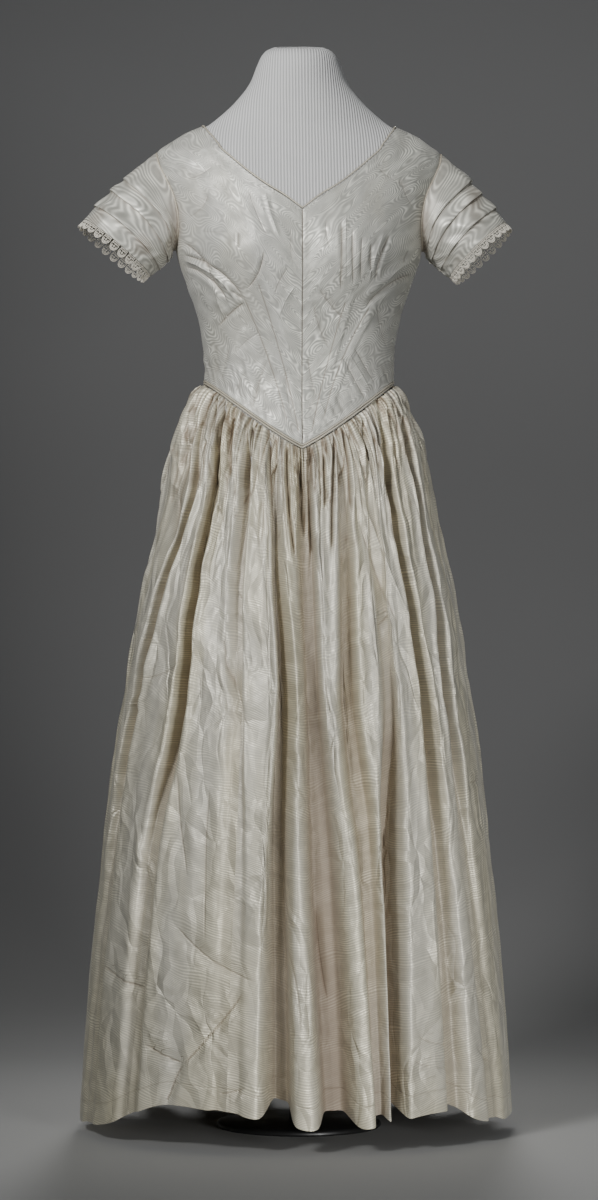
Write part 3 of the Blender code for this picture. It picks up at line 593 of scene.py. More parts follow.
def seam_offset(line, turn, distance):
    """A seam line's height moved up by a distance measured on the figure, square to the line."""
    height = line(turn)
    before, after = turn - TURN_STEP, turn + TURN_STEP
    along = body_point(after, line(after)) - body_point(before, line(before))
    level = body_point(after, height) - body_point(before, height)
    up = body_point(turn, height + HEIGHT_STEP) - body_point(turn, height - HEIGHT_STEP)
    square = np.linalg.norm(along, axis=-1) / np.linalg.norm(np.cross(level, up), axis=-1)
    return height + distance * 2 * HEIGHT_STEP * square


WAIST_TOP = seam_offset(waist_height, TURNS, 2 * CORD_RADIUS + 1.5 * SEAM_GAP)
WAIST_LOW = seam_offset(waist_height, TURNS, -2 * CORD_RADIUS - 1.5 * SEAM_GAP)
NECK_LOW = seam_offset(neck_height, TURNS, -2 * CORD_RADIUS - 2.5 * SEAM_GAP)


def at_turn(values, turn):
    """A value kept for each of the turns round the body, read at any turn."""
    return np.interp(turn, TURNS, values, period=2 * math.pi)


def armhole(angle, grow=0.0):
    """(turn, height) on the left armhole, or on one grown by a length. angle 0 is the shoulder, a
    quarter turn the front of the arm."""
    middle, half = (SHOULDER_TIP + UNDERARM) / 2, (SHOULDER_TIP - UNDERARM) / 2
    turn = QUARTER - (ARMHOLE_TURN + grow / ARM_HALF_DEPTH) * np.sin(angle)
    return turn, middle + (half + grow) * np.cos(angle)


# Building meshes

def add_mesh(name, points, faces, material, uv=None, values=None):
    """A mesh object from points and arrays of faces. uv and values give a pair and named numbers a point."""
    mesh = bpy.data.meshes.new(name)
    mesh.from_pydata(np.reshape(points, (-1, 3)), [], [face for group in faces for face in group.tolist()])
    if uv is not None:
        corners = np.concatenate([group.ravel() for group in faces])
        pairs = np.reshape(uv, (-1, 2))[corners]
        mesh.uv_layers.new(name="cloth").data.foreach_set("uv", np.ravel(pairs).astype(np.float32))
    for key, numbers in (values or {}).items():
        made = mesh.attributes.new(key, "FLOAT", "POINT")
        made.data.foreach_set("value", np.ravel(numbers).astype(np.float32))
    mesh.materials.append(material)
    mesh.shade_smooth()
    piece = bpy.data.objects.new(name, mesh)
    bpy.context.scene.collection.objects.link(piece)
    return piece


def grid_faces(rows, columns, first=0, closed=False):
    """Faces between the points of a grid, each facing out where columns run round and rows run up."""
    number = np.arange(rows * columns).reshape(rows, columns) + first
    if closed:
        number = np.concatenate([number, number[:, :1]], axis=1)
    low, high = number[:-1], number[1:]
    return np.stack([low[:, :-1], low[:, 1:], high[:, 1:], high[:, :-1]], axis=-1).reshape(-1, 4)


def grid_normals(points):
    along, up = np.gradient(points, axis=1), np.gradient(points, axis=0)
    return unit(np.cross(along, up))


def shell(name, outer, thickness, material, uv, values):
    """Cloth with two sides: a grid of points, whose columns run round with the turn and whose rows run
    up, and the same points moved in by the cloth's thickness. Its rims are sharp."""
    rows, columns = outer.shape[:2]
    count = rows * columns
    inner = outer - grid_normals(outer) * thickness
    number = np.arange(count).reshape(rows, columns)
    faces = [grid_faces(rows, columns), grid_faces(rows, columns, count)[:, ::-1]]
    for rim in (number[0], number[-1, ::-1], number[::-1, 0], number[:, -1]):
        faces.append(np.stack([rim[:-1] + count, rim[1:] + count, rim[1:], rim[:-1]], axis=-1))
    both = {key: np.tile(np.ravel(v), 2) for key, v in values.items()}
    piece = add_mesh(name, np.stack([outer, inner]), faces, material, np.stack([uv, uv]), both)
    on_rim = np.ones((rows, columns), dtype=bool)
    on_rim[1:-1, 1:-1] = False
    on_rim = np.tile(on_rim.ravel(), 2)
    ends = np.empty(2 * len(piece.data.edges), dtype=np.int32)
    piece.data.edges.foreach_get("vertices", ends)
    ends = ends.reshape(-1, 2)
    sharp = on_rim[ends].all(axis=1) & ((ends[:, 0] < count) == (ends[:, 1] < count))
    piece.data.attributes.new("sharp_edge", "BOOLEAN", "EDGE").data.foreach_set("value", sharp)
    return piece


def tube_parts(line, out, radius, sides, closed=False):
    """(points, groups of faces, uv) of a tube along a line. out points away from what it lies on."""
    along = np.roll(line, -1, axis=0) - np.roll(line, 1, axis=0) if closed else np.gradient(line, axis=0)
    along = unit(along)
    out = unit(out - times(along, np.sum(out * along, axis=-1)))
    across = np.cross(out, along)
    angles = 2 * math.pi * np.arange(sides) / sides
    ring = np.cos(angles)[:, None] * across[:, None] + np.sin(angles)[:, None] * out[:, None]
    first = np.arange(sides)
    last = first + sides * (len(line) - 1)
    if closed:
        ends = np.stack([last, np.roll(last, -1), np.roll(first, -1), first], axis=-1)
    else:
        ends = np.stack([first[::-1], last])
    faces = [grid_faces(len(line), sides, closed=True), ends]
    return line[:, None] + ring * radius, faces, stacked(angles * radius, run(lengths(line))[:, None])


def cord(name, line, out, radius, sides, material, closed=False):
    """A piping cord, whose sides get painted shade where they lie in the seam and whose crest is left
    unshaded.
    """
    points, faces, uv = tube_parts(line, out, radius, sides, closed)
    shaded = np.clip(0.5 - np.sin(2 * math.pi * np.arange(sides) / sides), 0, 1) * 0.8
    return add_mesh(name, points, faces, material, uv, {"warm": np.tile(shaded, len(line))})


def merged(piece, near):
    """Joins a piece's points that lie together and turns its faces outwards."""
    shape = bmesh.new()
    shape.from_mesh(piece.data)
    bmesh.ops.remove_doubles(shape, verts=shape.verts, dist=near)
    bmesh.ops.recalc_face_normals(shape, faces=shape.faces)
    shape.to_mesh(piece.data)
    shape.free()
    piece.data.shade_smooth()


class Nodes:
    """A node tree being made: each node's inputs are given as values or as other nodes' outputs."""

    def __init__(self, tree):
        self.tree = tree

    def add(self, kind, inputs, **settings):
        node = self.tree.nodes.new(kind)
        for key, value in settings.items():
            setattr(node, key, value)
        for key, value in inputs.items():
            self.give(node.inputs[key], value)
        return node

    def give(self, socket, value):
        if isinstance(value, bpy.types.NodeSocket):
            self.tree.links.new(value, socket)
        elif value is not None:
            socket.default_value = value


def finished(piece, slot, *nodes):
    """Sets a piece on the frame's body, in place of its CAD nodes if it has any."""
    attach(piece, "root")
    if nodes:
        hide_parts(*nodes)


def cut_cloth(outer):
    """Works out a sheet cut as wide as its grid's widest row and as long as its longest column, and a
    little larger for its seams, with its area; nothing is kept or returned."""
    across = np.linalg.norm(np.diff(outer, axis=1), axis=-1).sum(axis=1).max()
    down = lengths(outer).sum(axis=0).max()
    facets = np.cross(outer[1:, 1:] - outer[:-1, :-1], outer[1:, :-1] - outer[:-1, 1:])
    area = float(np.linalg.norm(facets, axis=-1).sum() / 2)
    flat = (float(across) + 2 * SEAM_ALLOWANCE, float(down) + 2 * SEAM_ALLOWANCE)
    whole = flat[0] * flat[1]
    area = min(whole, max(LEAST_CUT_SHARE * whole, area))


# Creases and seams drawn on a surface, seen from straight in front or straight behind

def beside(line, x, z):
    """(share of the way along a line, distance to the right of its bow, its length) for points seen
    from the front."""
    ax, az = line.x1 - line.x0, line.z1 - line.z0
    length = math.hypot(ax, az)
    along = ((x - line.x0) * ax + (z - line.z0) * az) / length**2
    aside = ((x - line.x0) * az - (z - line.z0) * ax) / length
    return along, aside - line.bend * 4 * along * (1 - along), length


def crease_field(x, z, rows, strength=1.0, taper=CREASE_TAPER):
    """How far the creases move a surface out. Each is a trough or ridge with a lip on each side."""
    moved = 0.0
    for crease in rows:
        along, aside, _ = beside(crease, x, z)
        near = aside / crease.width
        ends = ease(along / taper) * ease((1 - along) / (1.5 * taper))
        lips = 0.42 * np.exp(-((near - 1.9) ** 2)) + 0.2 * np.exp(-((near + 1.9) ** 2))
        trough = np.exp(-np.abs(near) * np.sqrt(np.abs(near) + 0.15) * 1.1)
        moved = moved - crease.depth * strength * ends * (trough - lips)
    return moved


def crease_lines(x, z, rows, reach):
    """(signed distance to the nearest crease, how deep it is there), for the silk's painted shade and bump
    along each crease.
    """
    distance, deep = np.full_like(x, reach), np.zeros_like(x)
    for crease in rows:
        along, aside, _ = beside(crease, x, z)
        nearer = (along > 0) & (along < 1) & (np.abs(aside) < np.abs(distance))
        ends = ease(along / CREASE_TAPER) * ease((1 - along) / CREASE_TAPER)
        distance = np.where(nearer, aside, distance)
        deep = np.where(nearer, crease.depth * ends * ease(2 - 2 * np.abs(aside) / reach), deep)
    return distance, np.clip(deep / DEEPEST_CREASE, -1, 1)


def line_distance(x, z, line):
    """Signed distance from a seam line, to its right where it is above 0, and large past its ends."""
    along, aside, length = beside(line, x, z)
    past = np.maximum(0, np.maximum(-along, along - 1)) * length
    return np.where(past > 0, np.sign(aside + 1e-9) * np.hypot(aside, past), aside)


# The bodice

def bodice_edge_up(share, front):
    """(turn, height) up the outer side of a front or back: side seam, armhole, then shoulder seam."""
    sign = 1 if front else -1
    side = mix(at_turn(WAIST_TOP, QUARTER), UNDERARM, share / SIDE_TOP)
    shoulder_share = (share - ARMHOLE_TOP) / (1 - ARMHOLE_TOP)
    shoulder = mix(SHOULDER_TIP, at_turn(NECK_LOW, QUARTER), shoulder_share)
    angle = math.pi * (1 - (share - SIDE_TOP) / (ARMHOLE_TOP - SIDE_TOP))
    hole_turn, hole_height = armhole(sign * angle)
    in_hole = (share > SIDE_TOP) & (share < ARMHOLE_TOP)
    turn = np.where(in_hole, hole_turn, QUARTER)
    return turn, np.where(in_hole, hole_height, np.where(share <= SIDE_TOP, side, shoulder))


def bodice_patch(front, columns, rows):
    """(turn, height) of a left front or back, as a patch between its four edges."""
    u = np.linspace(0, 1, columns)[None, :]
    v = np.linspace(0, 1, rows)[:, None]
    middle = 0.0 if front else math.pi
    edge_turn, edge_height = bodice_edge_up(v, front)
    turn_across = mix(middle, QUARTER, u)
    across = mix(mix(at_turn(WAIST_TOP, middle), at_turn(NECK_LOW, middle), v), edge_height, u)
    upwards = mix(at_turn(WAIST_TOP, turn_across), at_turn(NECK_LOW, turn_across), v)
    low = mix(at_turn(WAIST_TOP, middle), at_turn(WAIST_TOP, QUARTER), u)
    high = mix(at_turn(NECK_LOW, middle), at_turn(NECK_LOW, QUARTER), u)
    return turn_across + (edge_turn - QUARTER) * u * u, across + upwards - mix(low, high, v)


def bodice_piece(front, left, strength):
    """One front or back: its grid of points on the figure, its uv and its seam distances."""
    columns, rows = BODICE_FRONT_GRID if front else BODICE_BACK_GRID
    turn, height = bodice_patch(front, columns, rows)
    base = on_body(turn, height, BODICE_OUT)
    half = SEAM_GAP / 2
    base[..., 0] = np.maximum(base[..., 0], half)
    base[..., 1] = np.minimum(base[..., 1], -half) if front else np.maximum(base[..., 1], half)
    if not left:
        base = base * MIRROR
    if left != front:
        base = base[:, ::-1]
    x, z = base[..., 0], base[..., 2]
    if front:
        marks, seams = (LEFT_FRONT_CREASES, LEFT_DARTS) if left else (RIGHT_FRONT_CREASES, RIGHT_DARTS)
    else:
        marks, seams = BACK_CREASES, LEFT_BACK_SEAMS if left else RIGHT_BACK_SEAMS
    across = run(np.linalg.norm(np.diff(base, axis=1), axis=-1).T).T
    if left != front:
        across = across - across[:, -1:]
    upwards = run(lengths(base).mean(axis=1))[:, None]
    near_turn = turn_of(base)
    over_waist = z - at_turn(WAIST_TOP, near_turn)
    calm = ease(np.minimum(over_waist, at_turn(NECK_LOW, near_turn) - z) / SEAM_CALM)
    crumples = np.abs(ripple(x * 1.7 + z * 0.7, z * 0.3, 7 if left else 9, 0.016))
    crumples = WAIST_CRUMPLE * crumples * np.exp(-((over_waist / WAIST_CRUMPLE_REACH) ** 2))
    rise = crease_field(x, z, marks, 0.85 * strength) + 0.0003 * ripple(x, z, 3 if left else 5, 0.030)
    rise = (rise - crumples) * calm
    values = {"seam_a": line_distance(x, z, seams[0]), "seam_b": line_distance(x, z, seams[-1])}
    for distance in values.values():
        rise = rise + CASING_HEIGHT * ease((CASING_WIDE - np.abs(distance + CASING_MIDDLE)) / 0.003)
        rise = rise - DART_GROOVE_DEEP * np.exp(-((distance / 0.0016) ** 2))
    if front:
        edge = np.abs(across)
        rise = rise + 0.0006 * ease((0.0062 - edge) / 0.0022) - 0.0009 * np.exp(-((edge / 0.0009) ** 2))
    armhole_edge = base[:, -1:] if left == front else base[:, :1]
    near_arm = np.exp(-np.linalg.norm(base - armhole_edge, axis=-1) / ARM_SHADE_REACH)
    low_arm = 0.8 * ease((z - 1.085) / 0.03) * ease((1.215 - z) / 0.05)
    crease_at, crease_deep = crease_lines(x, z, marks, 0.5 * CREASE_REACH)
    # Painted shade where the bodice lies deep in its creases and near the lower armhole
    values["warm"] = 0.2 * np.clip(-rise / BODICE_SHADE_DEPTH, 0, 1) + 0.5 * near_arm * low_arm
    values["crease_at"], values["crease_deep"] = crease_at, crease_deep * calm
    return base + times(grid_normals(base), rise), stacked(across, upwards), values


def turn_of(points):
    """The turn of points on the body, near enough for reading a seam's height."""
    depth = np.where(points[..., 1] < 0, 0.088, 0.085)
    return np.arctan2(points[..., 0] / 0.12, -points[..., 1] / depth)


# Sleeves and lace

def cuff_ring(cuff, angle):
    """Points of a cuff's oval and the directions out of it, as if on the wearer's left."""
    centre = np.array([(cuff.upper_x + cuff.lower_x) / 2, -CUFF_FORWARD, (cuff.upper_z + cuff.lower_z) / 2])
    long = np.array([cuff.upper_x - cuff.lower_x, 0.0, cuff.upper_z - cuff.lower_z]) / 2
    deep = np.array([0.0, -1.0, cuff.tilt]) * CUFF_HALF_DEEP
    spoke = times(long, np.cos(angle)) + times(deep, np.sin(angle))
    return centre + spoke, unit(spoke)


def sleeve_stations():
    """Along the sleeve: a row that follows the tucks, how far back from it the cloth lies, and how high.
    Each tuck is folded in a Z: out to its lip, back under itself and out again."""
    stations = []
    for band in range(len(TUCKS) + 1):
        low = 0.0004 if band else 0.0
        start = FIRST_TUCK_START if band == 0 else 0.10
        for t in np.linspace(0.04 if band else 0.0, 1.0, 15):
            lift = ease((t - start) / (1 - start)) if band < len(TUCKS) else 0.0
            stations.append((band + t, 0.0, mix(low, TUCK_DEPTH, lift)))
        if band < len(TUCKS):
            stations += [(band + 1.0, back, height) for back, height in TUCK_FOLD]
    return np.array(stations)


def sleeve_piece(cuff, strength):
    """The grid of one sleeve, as if on the wearer's left, with its uv and the painted shade and stains that
    each point gets.
    """
    gap = SEAM_GAP / CUFF_HALF_DEEP
    seed = cuff.mirror
    angle = np.linspace(-math.pi + gap, math.pi - gap, SLEEVE_COLUMNS)[None, :]
    row, back, height = [part[:, None] for part in sleeve_stations().T]
    under = (1 - np.cos(angle)) / 2
    edges = np.concatenate([0 * under, *(mix(tuck.top, tuck.under, under) for tuck in TUCKS), 0 * under + 1])
    whole = np.minimum(row[:, 0].astype(int), len(edges) - 2)
    end, away = cuff_ring(cuff, angle)
    turn, up = armhole(angle, SEAM_GAP)
    root = on_body(turn, up, SLEEVE_OUT)
    reach = np.linalg.norm(end - root, axis=-1)
    along = mix(edges[whole], edges[whole + 1], row - whole[:, None]) - back * (1 - 0.6 * under) / reach
    away = unit(mix(body_normal(turn, up) * np.ones_like(away), away, ease(along / SLEEVE_HEAD)[..., None]))
    round_it = angle * 0.05
    soft = 0.6 - 1.3 * np.abs(ripple(round_it + 0.5 * along * 0.09, along * 0.04, 21 + seed, 0.034))
    soft = soft + 0.8 * ripple(round_it, along * 0.09, 31 + seed, 0.034)
    soft = soft + 0.2 * np.sin(2.2 * angle + 1.6 * np.sin(1.3 * angle + seed))
    loose = ease(along / 0.2) * ease((1 - along) / 0.12) * (0.4 + 0.6 * ease(height / 0.002))
    rise = SLEEVE_BULGE * np.sin(math.pi * np.clip(along, 0, 1)) + height * (1 - TUCK_FLATTENING * under**2)
    rise = rise + SLEEVE_WRINKLE * strength * soft * loose + SLEEVE_START * ease(along / 0.1)
    crimp = HEAD_CRIMP * np.sin(34 * angle + 2 * np.sin(3 * angle))
    crimp = crimp * np.exp(-along / 0.05) * ease(along / 0.02)
    outer = mix(root, end, along[..., None]) + times(away, rise + crimp)
    uv = stacked(angle * CUFF_MEAN_RADIUS, run(lengths(outer).mean(axis=1))[:, None])
    # Painted shade under each tuck's lip, at the armpit and along the armhole, with random stains added
    deep = np.clip(1 - height / 0.0016, 0, 1) * np.exp(-np.abs(row - np.round(row)) / 0.10) * (row > 0.6)
    armpit = ARMPIT_SHADE * ease((under - 0.3) / 0.4) * np.exp(-along / 0.16) * ease(np.sin(angle) / 0.4)
    armpit = armpit + ARMHOLE_SHADE * np.exp(-along / 0.10)
    stained = 0.25 * ease(ripple(round_it, along * 0.09, 61 + seed, 0.06) - 0.4)
    return outer, uv, {"warm": np.clip(0.6 * deep * (row < len(TUCKS) + 0.4) + armpit + stained, 0, 1)}


def on_side(cuff, grid):
    """A grid built on the wearer's left, put on the cuff's own side with its columns still turning
    the same way."""
    grid = grid[:, :: cuff.mirror]
    return grid * MIRROR if cuff.mirror < 0 and grid.shape[-1] == 3 else grid


def lace_frame(cuff, angle):
    """Points just past a cuff's edge, and the directions round it and down it."""
    edge, away = cuff_ring(cuff, angle)
    after, _ = cuff_ring(cuff, angle + 0.01)
    fall = unit(edge - on_body(*armhole(angle, SEAM_GAP), SLEEVE_OUT))
    return edge + away * LACE_OFF_CUFF + fall * LACE_BELOW_CUFF, unit(after - edge), fall


def repeat_along(name, places, along, out, motif, material, uneven, seed):
    """Copies of a small shape along a path: X follows the path and Z points out. Geometry Nodes sets
    them, and the result is one plain mesh."""
    points = bpy.data.meshes.new(name + "_points")
    points.from_pydata(places, [], [])
    for key, vectors in (("along", along), ("out", out)):
        layer = points.attributes.new(key, "FLOAT_VECTOR", "POINT")
        layer.data.foreach_set("vector", np.ravel(vectors).astype(np.float32))
    carrier = bpy.data.objects.new(name, points)
    bpy.context.scene.collection.objects.link(carrier)
    made = Nodes(bpy.data.node_groups.new(name + "_repeat", "GeometryNodeTree"))
    face = made.tree.interface
    kinds = ("Geometry", "Object", "Material", "Float", "Int")
    for label, kind in zip(("Points", "Motif", "Finish", "Unevenness", "Seed"), kinds):
        face.new_socket(label, in_out="INPUT", socket_type="NodeSocket" + kind)
    face.new_socket("Mesh", in_out="OUTPUT", socket_type="NodeSocketGeometry")
    given = made.add("NodeGroupInput", {}).outputs
    shape = made.add("GeometryNodeObjectInfo", {"Object": given["Motif"]}).outputs["Geometry"]
    axes = {}
    for key, socket in (("along", "Primary Axis"), ("out", "Secondary Axis")):
        named = made.add("GeometryNodeInputNamedAttribute", {"Name": key}, data_type="FLOAT_VECTOR")
        axes[socket] = named.outputs["Attribute"]
    turned = made.add("FunctionNodeAxesToRotation", axes, primary_axis="X", secondary_axis="Z").outputs[0]
    least = made.add("ShaderNodeMath", {0: 1.0, 1: given["Unevenness"]}, operation="SUBTRACT").outputs[0]
    size = made.add("FunctionNodeRandomValue", {2: least, 3: 1.0, "Seed": given["Seed"]}).outputs[1]
    copies = {"Points": given["Points"], "Instance": shape, "Rotation": turned, "Scale": size}
    real = {0: made.add("GeometryNodeInstanceOnPoints", copies).outputs[0]}
    coat = {0: made.add("GeometryNodeRealizeInstances", real).outputs[0], "Material": given["Finish"]}
    made.add("NodeGroupOutput", {"Mesh": made.add("GeometryNodeSetMaterial", coat).outputs[0]})
    modifier = carrier.modifiers.new("repeat", "NODES")
    modifier.node_group = made.tree
    settings = {"Motif": motif, "Finish": material, "Unevenness": uneven, "Seed": seed}
    for item in face.items_tree:
        if item.in_out == "INPUT" and item.name in settings:
            modifier[item.identifier] = settings[item.name]
    carrier.update_tag()
    bpy.context.view_layer.update()
    mesh = bpy.data.meshes.new_from_object(carrier.evaluated_get(bpy.context.evaluated_depsgraph_get()))
    carrier.modifiers.remove(modifier)
    bpy.data.node_groups.remove(made.tree)
    carrier.data = mesh
    bpy.data.meshes.remove(points)
    if not mesh.materials:
        mesh.materials.append(material)
    return carrier


def scallop_motif(wide, material):
    """One scallop of bobbin lace, hanging down -Y from its upper edge: a footing of two threads and a
    zigzag, a looped outer braid, an inner loop and bars between them."""
    half = wide / 2
    loops = ((0.97, 0.0036, LACE_DEEP - 0.0004), (0.62, 0.0050, LACE_DEEP - 0.0030))

    def on_loop(loop, share):
        """Points of a loop, which goes from one end of the scallop down and up to the other."""
        wide_share, top, bottom = loop
        swing = math.pi * share
        return stacked(-half * wide_share * np.cos(swing), -mix(top, bottom, np.sin(swing) ** 0.75), 0.0)

    t = np.linspace(0, 1, 19)
    zig = np.linspace(-half, half, 9)
    lines = [stacked(mix(-half, half, t), -drop, 0.0) for drop in (0.0006, 0.0032)]
    lines.append(stacked(zig, -0.0019 + 0.0012 * np.array([1, -1] * 4 + [1]), 0.0))
    lines += [on_loop(loop, t) for loop in loops]
    for share in np.linspace(0.10, 0.90, 9):
        outer, inner = on_loop(loops[0], share), on_loop(loops[1], share)
        lines.append(np.stack([inner, (inner + outer) / 2, outer]))
    lines.append(np.array([(0, -0.0032, 0), (0, -0.0060, 0.0002), (0, -(LACE_DEEP - 0.0030), 0)]))
    lines.append(np.array([(-half * 0.5, -0.0062, 0), (0, -0.0066, 0.0002), (half * 0.5, -0.0062, 0)]))
    points, faces, uv, count = [], [], [], 0
    for line in lines:
        tube, groups, pairs = tube_parts(line, np.array([0.0, 0.0, 1.0]), LACE_THREAD_RADIUS, 5)
        points.append(tube.reshape(-1, 3))
        uv.append(pairs.reshape(-1, 2))
        faces += [group + count for group in groups]
        count += len(points[-1])
    return add_mesh("scallop", np.concatenate(points), faces, material, np.concatenate(uv))


# The skirt

def all_folds():
    """(turns at the levels, depths at the depth levels, widths, leans) of the folds round the skirt."""
    places, depths, wide, lean = [], [], [], []
    for fold in FRONT_FOLDS:
        places.append([math.asin(share) for share in fold[:6]])
        depths.append([0.0, *fold[6:10]])
        wide.append(fold.wide)
        lean.append(fold.lean)
    for k in range(BACK_FOLDS):
        turn = mix(BACK_FROM, BACK_TO, (k + 0.5) / BACK_FOLDS) + BACK_UNEVEN_PLACE * math.sin(2.4 * k + 1.0)
        drift = BACK_DRIFT * math.sin(1.7 * k)
        deeper = 1 + BACK_UNEVEN_DEPTH * math.sin(1.9 * k + 0.5)
        places.append([turn, turn, turn + drift, turn + drift, turn, turn - drift])
        depths.append([0.0, *(depth * deeper for depth in BACK_DEPTHS)])
        wide.append(1.0)
        lean.append(BACK_LEAN * (1 if math.sin(3.1 * k + 0.4) > 0 else -1))
    return np.array(places), np.array(depths), np.array(wide), np.array(lean)


class Folds:
    """The folds round the skirt, read at any height: where each lies, how deep it is and how wide."""

    def __init__(self):
        places, depths, wide, self.lean = all_folds()
        self.count = len(places)
        self.shade = SHADE_OF_A_FOLD * np.minimum(wide, 1)
        levels, deep_levels = np.array(LEVELS), np.array(DEPTH_LEVELS)
        self.turns = np.array([smooth_line(levels, row, TABLE_HEIGHTS) for row in places])
        self.depths = np.array([smooth_line(deep_levels, row, TABLE_HEIGHTS) for row in depths])
        gaps = np.roll(self.turns, -1, axis=0) - self.turns
        gaps[-1] += 2 * math.pi
        half_wide = read(HANG, "height", "half_width", TABLE_HEIGHTS)
        own = smooth_line(levels, np.array(VALLEY_HALF_WIDTHS), TABLE_HEIGHTS) / half_wide
        room = WIDEST_VALLEY * np.minimum(gaps, np.roll(gaps, 1, axis=0))
        self.halves = np.minimum(room, wide[:, None] * own[None, :])

    def at(self, kept, fold, height):
        step = np.clip(height / TABLE_STEP, 0, len(TABLE_HEIGHTS) - 1.001)
        low = step.astype(int)
        fold = fold % self.count
        return mix(kept[fold, low], kept[fold, low + 1], step - low)

    def valley_turn(self, fold, height):
        return self.at(self.turns, fold, height) + 2 * math.pi * (fold // self.count)

    def turn(self, place, height):
        """The turn of a place counted in folds."""
        fold = np.floor(place).astype(int) + 0 * height.astype(int)
        before, after = self.valley_turn(fold, height), self.valley_turn(fold + 1, height)
        return mix(before, after, place - np.floor(place))

    def valleys(self, place, turn, height):
        """(depth, sideways slide as a turn, how much painted shade a point gets inside a valley) that the
        folds on either side give.
        """
        depth, slide, inside = 0.0, 0.0, 0.0
        first = np.floor(place).astype(int) + 0 * height.astype(int)
        high = ease((height - 0.15) / 0.50)
        share = mix(VALLEY_SHARE_LOW, VALLEY_SHARE_HIGH, high)
        for fold in (first, first + 1):
            half = self.at(self.halves, fold, height)
            deep = self.at(self.depths, fold, height)
            lean = self.lean[fold % self.count] * high
            aside = turn - self.valley_turn(fold, height) + 0.5 * lean * half
            away = np.abs(aside) / (share * half)
            near = 1 / (1 + away ** mix(7.0, 9.0, high))
            lip = np.exp(-(((away - 1.75) / 0.55) ** 2)) * high
            dark = self.shade[fold % self.count] * mix(1.05, 0.9, high)
            depth = depth + deep * near - np.minimum(0.14 * deep, FOLD_LIP) * lip
            slide = slide + lean * half * near * np.clip(deep / DEEP_ENOUGH_TO_LEAN, 0, 1)
            inside = inside + dark * near * np.clip(deep / DEEP_ENOUGH_TO_SHADE, 0, 1)
        return depth, slide, inside


def hem_height(turn, depth):
    front = read(HEM, "share", "height", np.sin(turn))
    return mix(front, HEM_BACK, ease(-np.cos(turn) / HEM_BACK_SETTLES)) + VALLEY_LIFT * depth


HELD_POINTS = body_point(TURNS, WAIST_LOW)
HELD_OUT = body_normal(TURNS, WAIST_LOW)


def hang_point(turn, height, held_out):
    """Points of the skirt's outline, before its folds, and the directions out of it."""
    wide = read(HANG, "height", "half_width", height)
    front, back = read(HANG, "height", "front", height), read(HANG, "height", "back", height)
    deep = np.where(np.cos(turn) > 0, front, back)
    held, out_of = (stacked(*(at_turn(part, turn) for part in kept.T)) for kept in (HELD_POINTS, HELD_OUT))
    free = stacked(wide * np.sin(turn), -deep * np.cos(turn), height)
    released = 1 - np.exp(-np.maximum(at_turn(WAIST_LOW, turn) - height, 0.0) / SPRING)
    place = mix(held + times(out_of, held_out), free, released[..., None])
    place[..., 2] = height
    return place, unit(stacked(np.sin(turn) / wide, -np.cos(turn) / deep, 0.0))


def gather_rise(seam_turn, drop, strength):
    """(how far the gathers stand out, how much painted shade a point gets in the gaps between them)."""
    dice = np.random.default_rng(GATHER_SEED)
    rise, gap = 0.0, 0.0
    for gather in GATHERS:
        count = gather.count
        place = seam_turn / (2 * math.pi) * count
        for k in (11, 23, 37, 53):
            place = place + dice.uniform(0.2, 0.4) * np.sin(k * seam_turn + dice.uniform(0, 6.28))
        drift = 0.5 * np.sin(9 * seam_turn + dice.uniform(0, 6.28) + 20 * drop) * np.minimum(drop / 0.04, 1.5)
        place = place + drift
        number = np.floor(place).astype(int) % count
        tall = dice.uniform(0.2, 1.5, count)[number]
        far = dice.uniform(0.3, 2.2, count)[number]
        arch = np.sin(math.pi * (place - np.floor(place)))
        pipe = 0.7 * arch**0.25 + 0.3 * arch
        grows = mix(gather.start, 1.0, ease(drop / gather.fullest))
        below = np.maximum(drop - gather.fullest, 0) / gather.fades
        fades = np.exp(-((below / far) ** 1.6))
        mean = np.exp(-(below**1.6))
        rise = rise + strength * gather.height * grows * (tall * pipe * fades - 0.85 * mean)
        aside = np.abs(place - np.round(place)) * GATHERED_ROUND / count
        dark = np.exp(-((aside / GAP_HALF_WIDTH) ** 1.5)) * np.minimum(1, 0.6 + 0.5 * tall)
        gap = np.maximum(gap, dark * mix(0.8, 1.0, grows) * fades)
    return rise, gap


def skirt_places(breadth):
    """Places of a breadth's columns, counted in folds, closest together at the valleys and in front."""
    steps = []
    for fold in range(math.floor(breadth.first), math.ceil(breadth.last)):
        in_front = (fold + 1) % (len(FRONT_FOLDS) + BACK_FOLDS) <= len(FRONT_FOLDS)
        wide = FOLD_COLUMNS_IN_FRONT if in_front else FOLD_COLUMNS_BEHIND
        t = np.linspace(0, 1, wide + 1)
        steps.append(fold + t - 0.45 * np.sin(2 * math.pi * t) / (2 * math.pi))
    places = np.unique(np.round(np.concatenate(steps), 6))
    inside = places[(places > breadth.first + 0.004) & (places < breadth.last - 0.004)]
    return np.concatenate([[breadth.first], inside, [breadth.last]])


def skirt_rows():
    """(drop below the seam, share of the way from there to the hem) of each row, from the top."""
    near = FIRST_DROP + GATHERED_DROP * np.linspace(0, 1, GATHERED_ROWS) ** 1.5
    far = np.linspace(0, 1, HANGING_ROWS + 1)[1:]
    drops = np.concatenate([near, np.full(len(far), near[-1])])
    return drops[:, None], np.concatenate([0 * near, far])[:, None]


def soft_waves(x, y, z):
    """Soft unevenness of cloth that hangs free: smooth waves, creased hollows and creased swells."""
    smooth = 0.0005 * ripple(x, z * 0.16 + y, 41, 0.034) + 0.0010 * ripple(x, z - y, 43, 0.080)
    hollows = 0.0012 * np.abs(ripple(x + 0.10 * z, 0.14 * z + y, 45, 0.075))
    hollows = hollows + 0.0007 * np.abs(ripple(0.8 * x - 0.4 * z, 0.3 * z + y, 49, 0.050))
    swells = 0.0012 * np.abs(ripple(0.8 * x + 0.5 * z, 0.5 * z - 0.3 * x + y, 47, 0.110))
    return smooth - hollows + swells


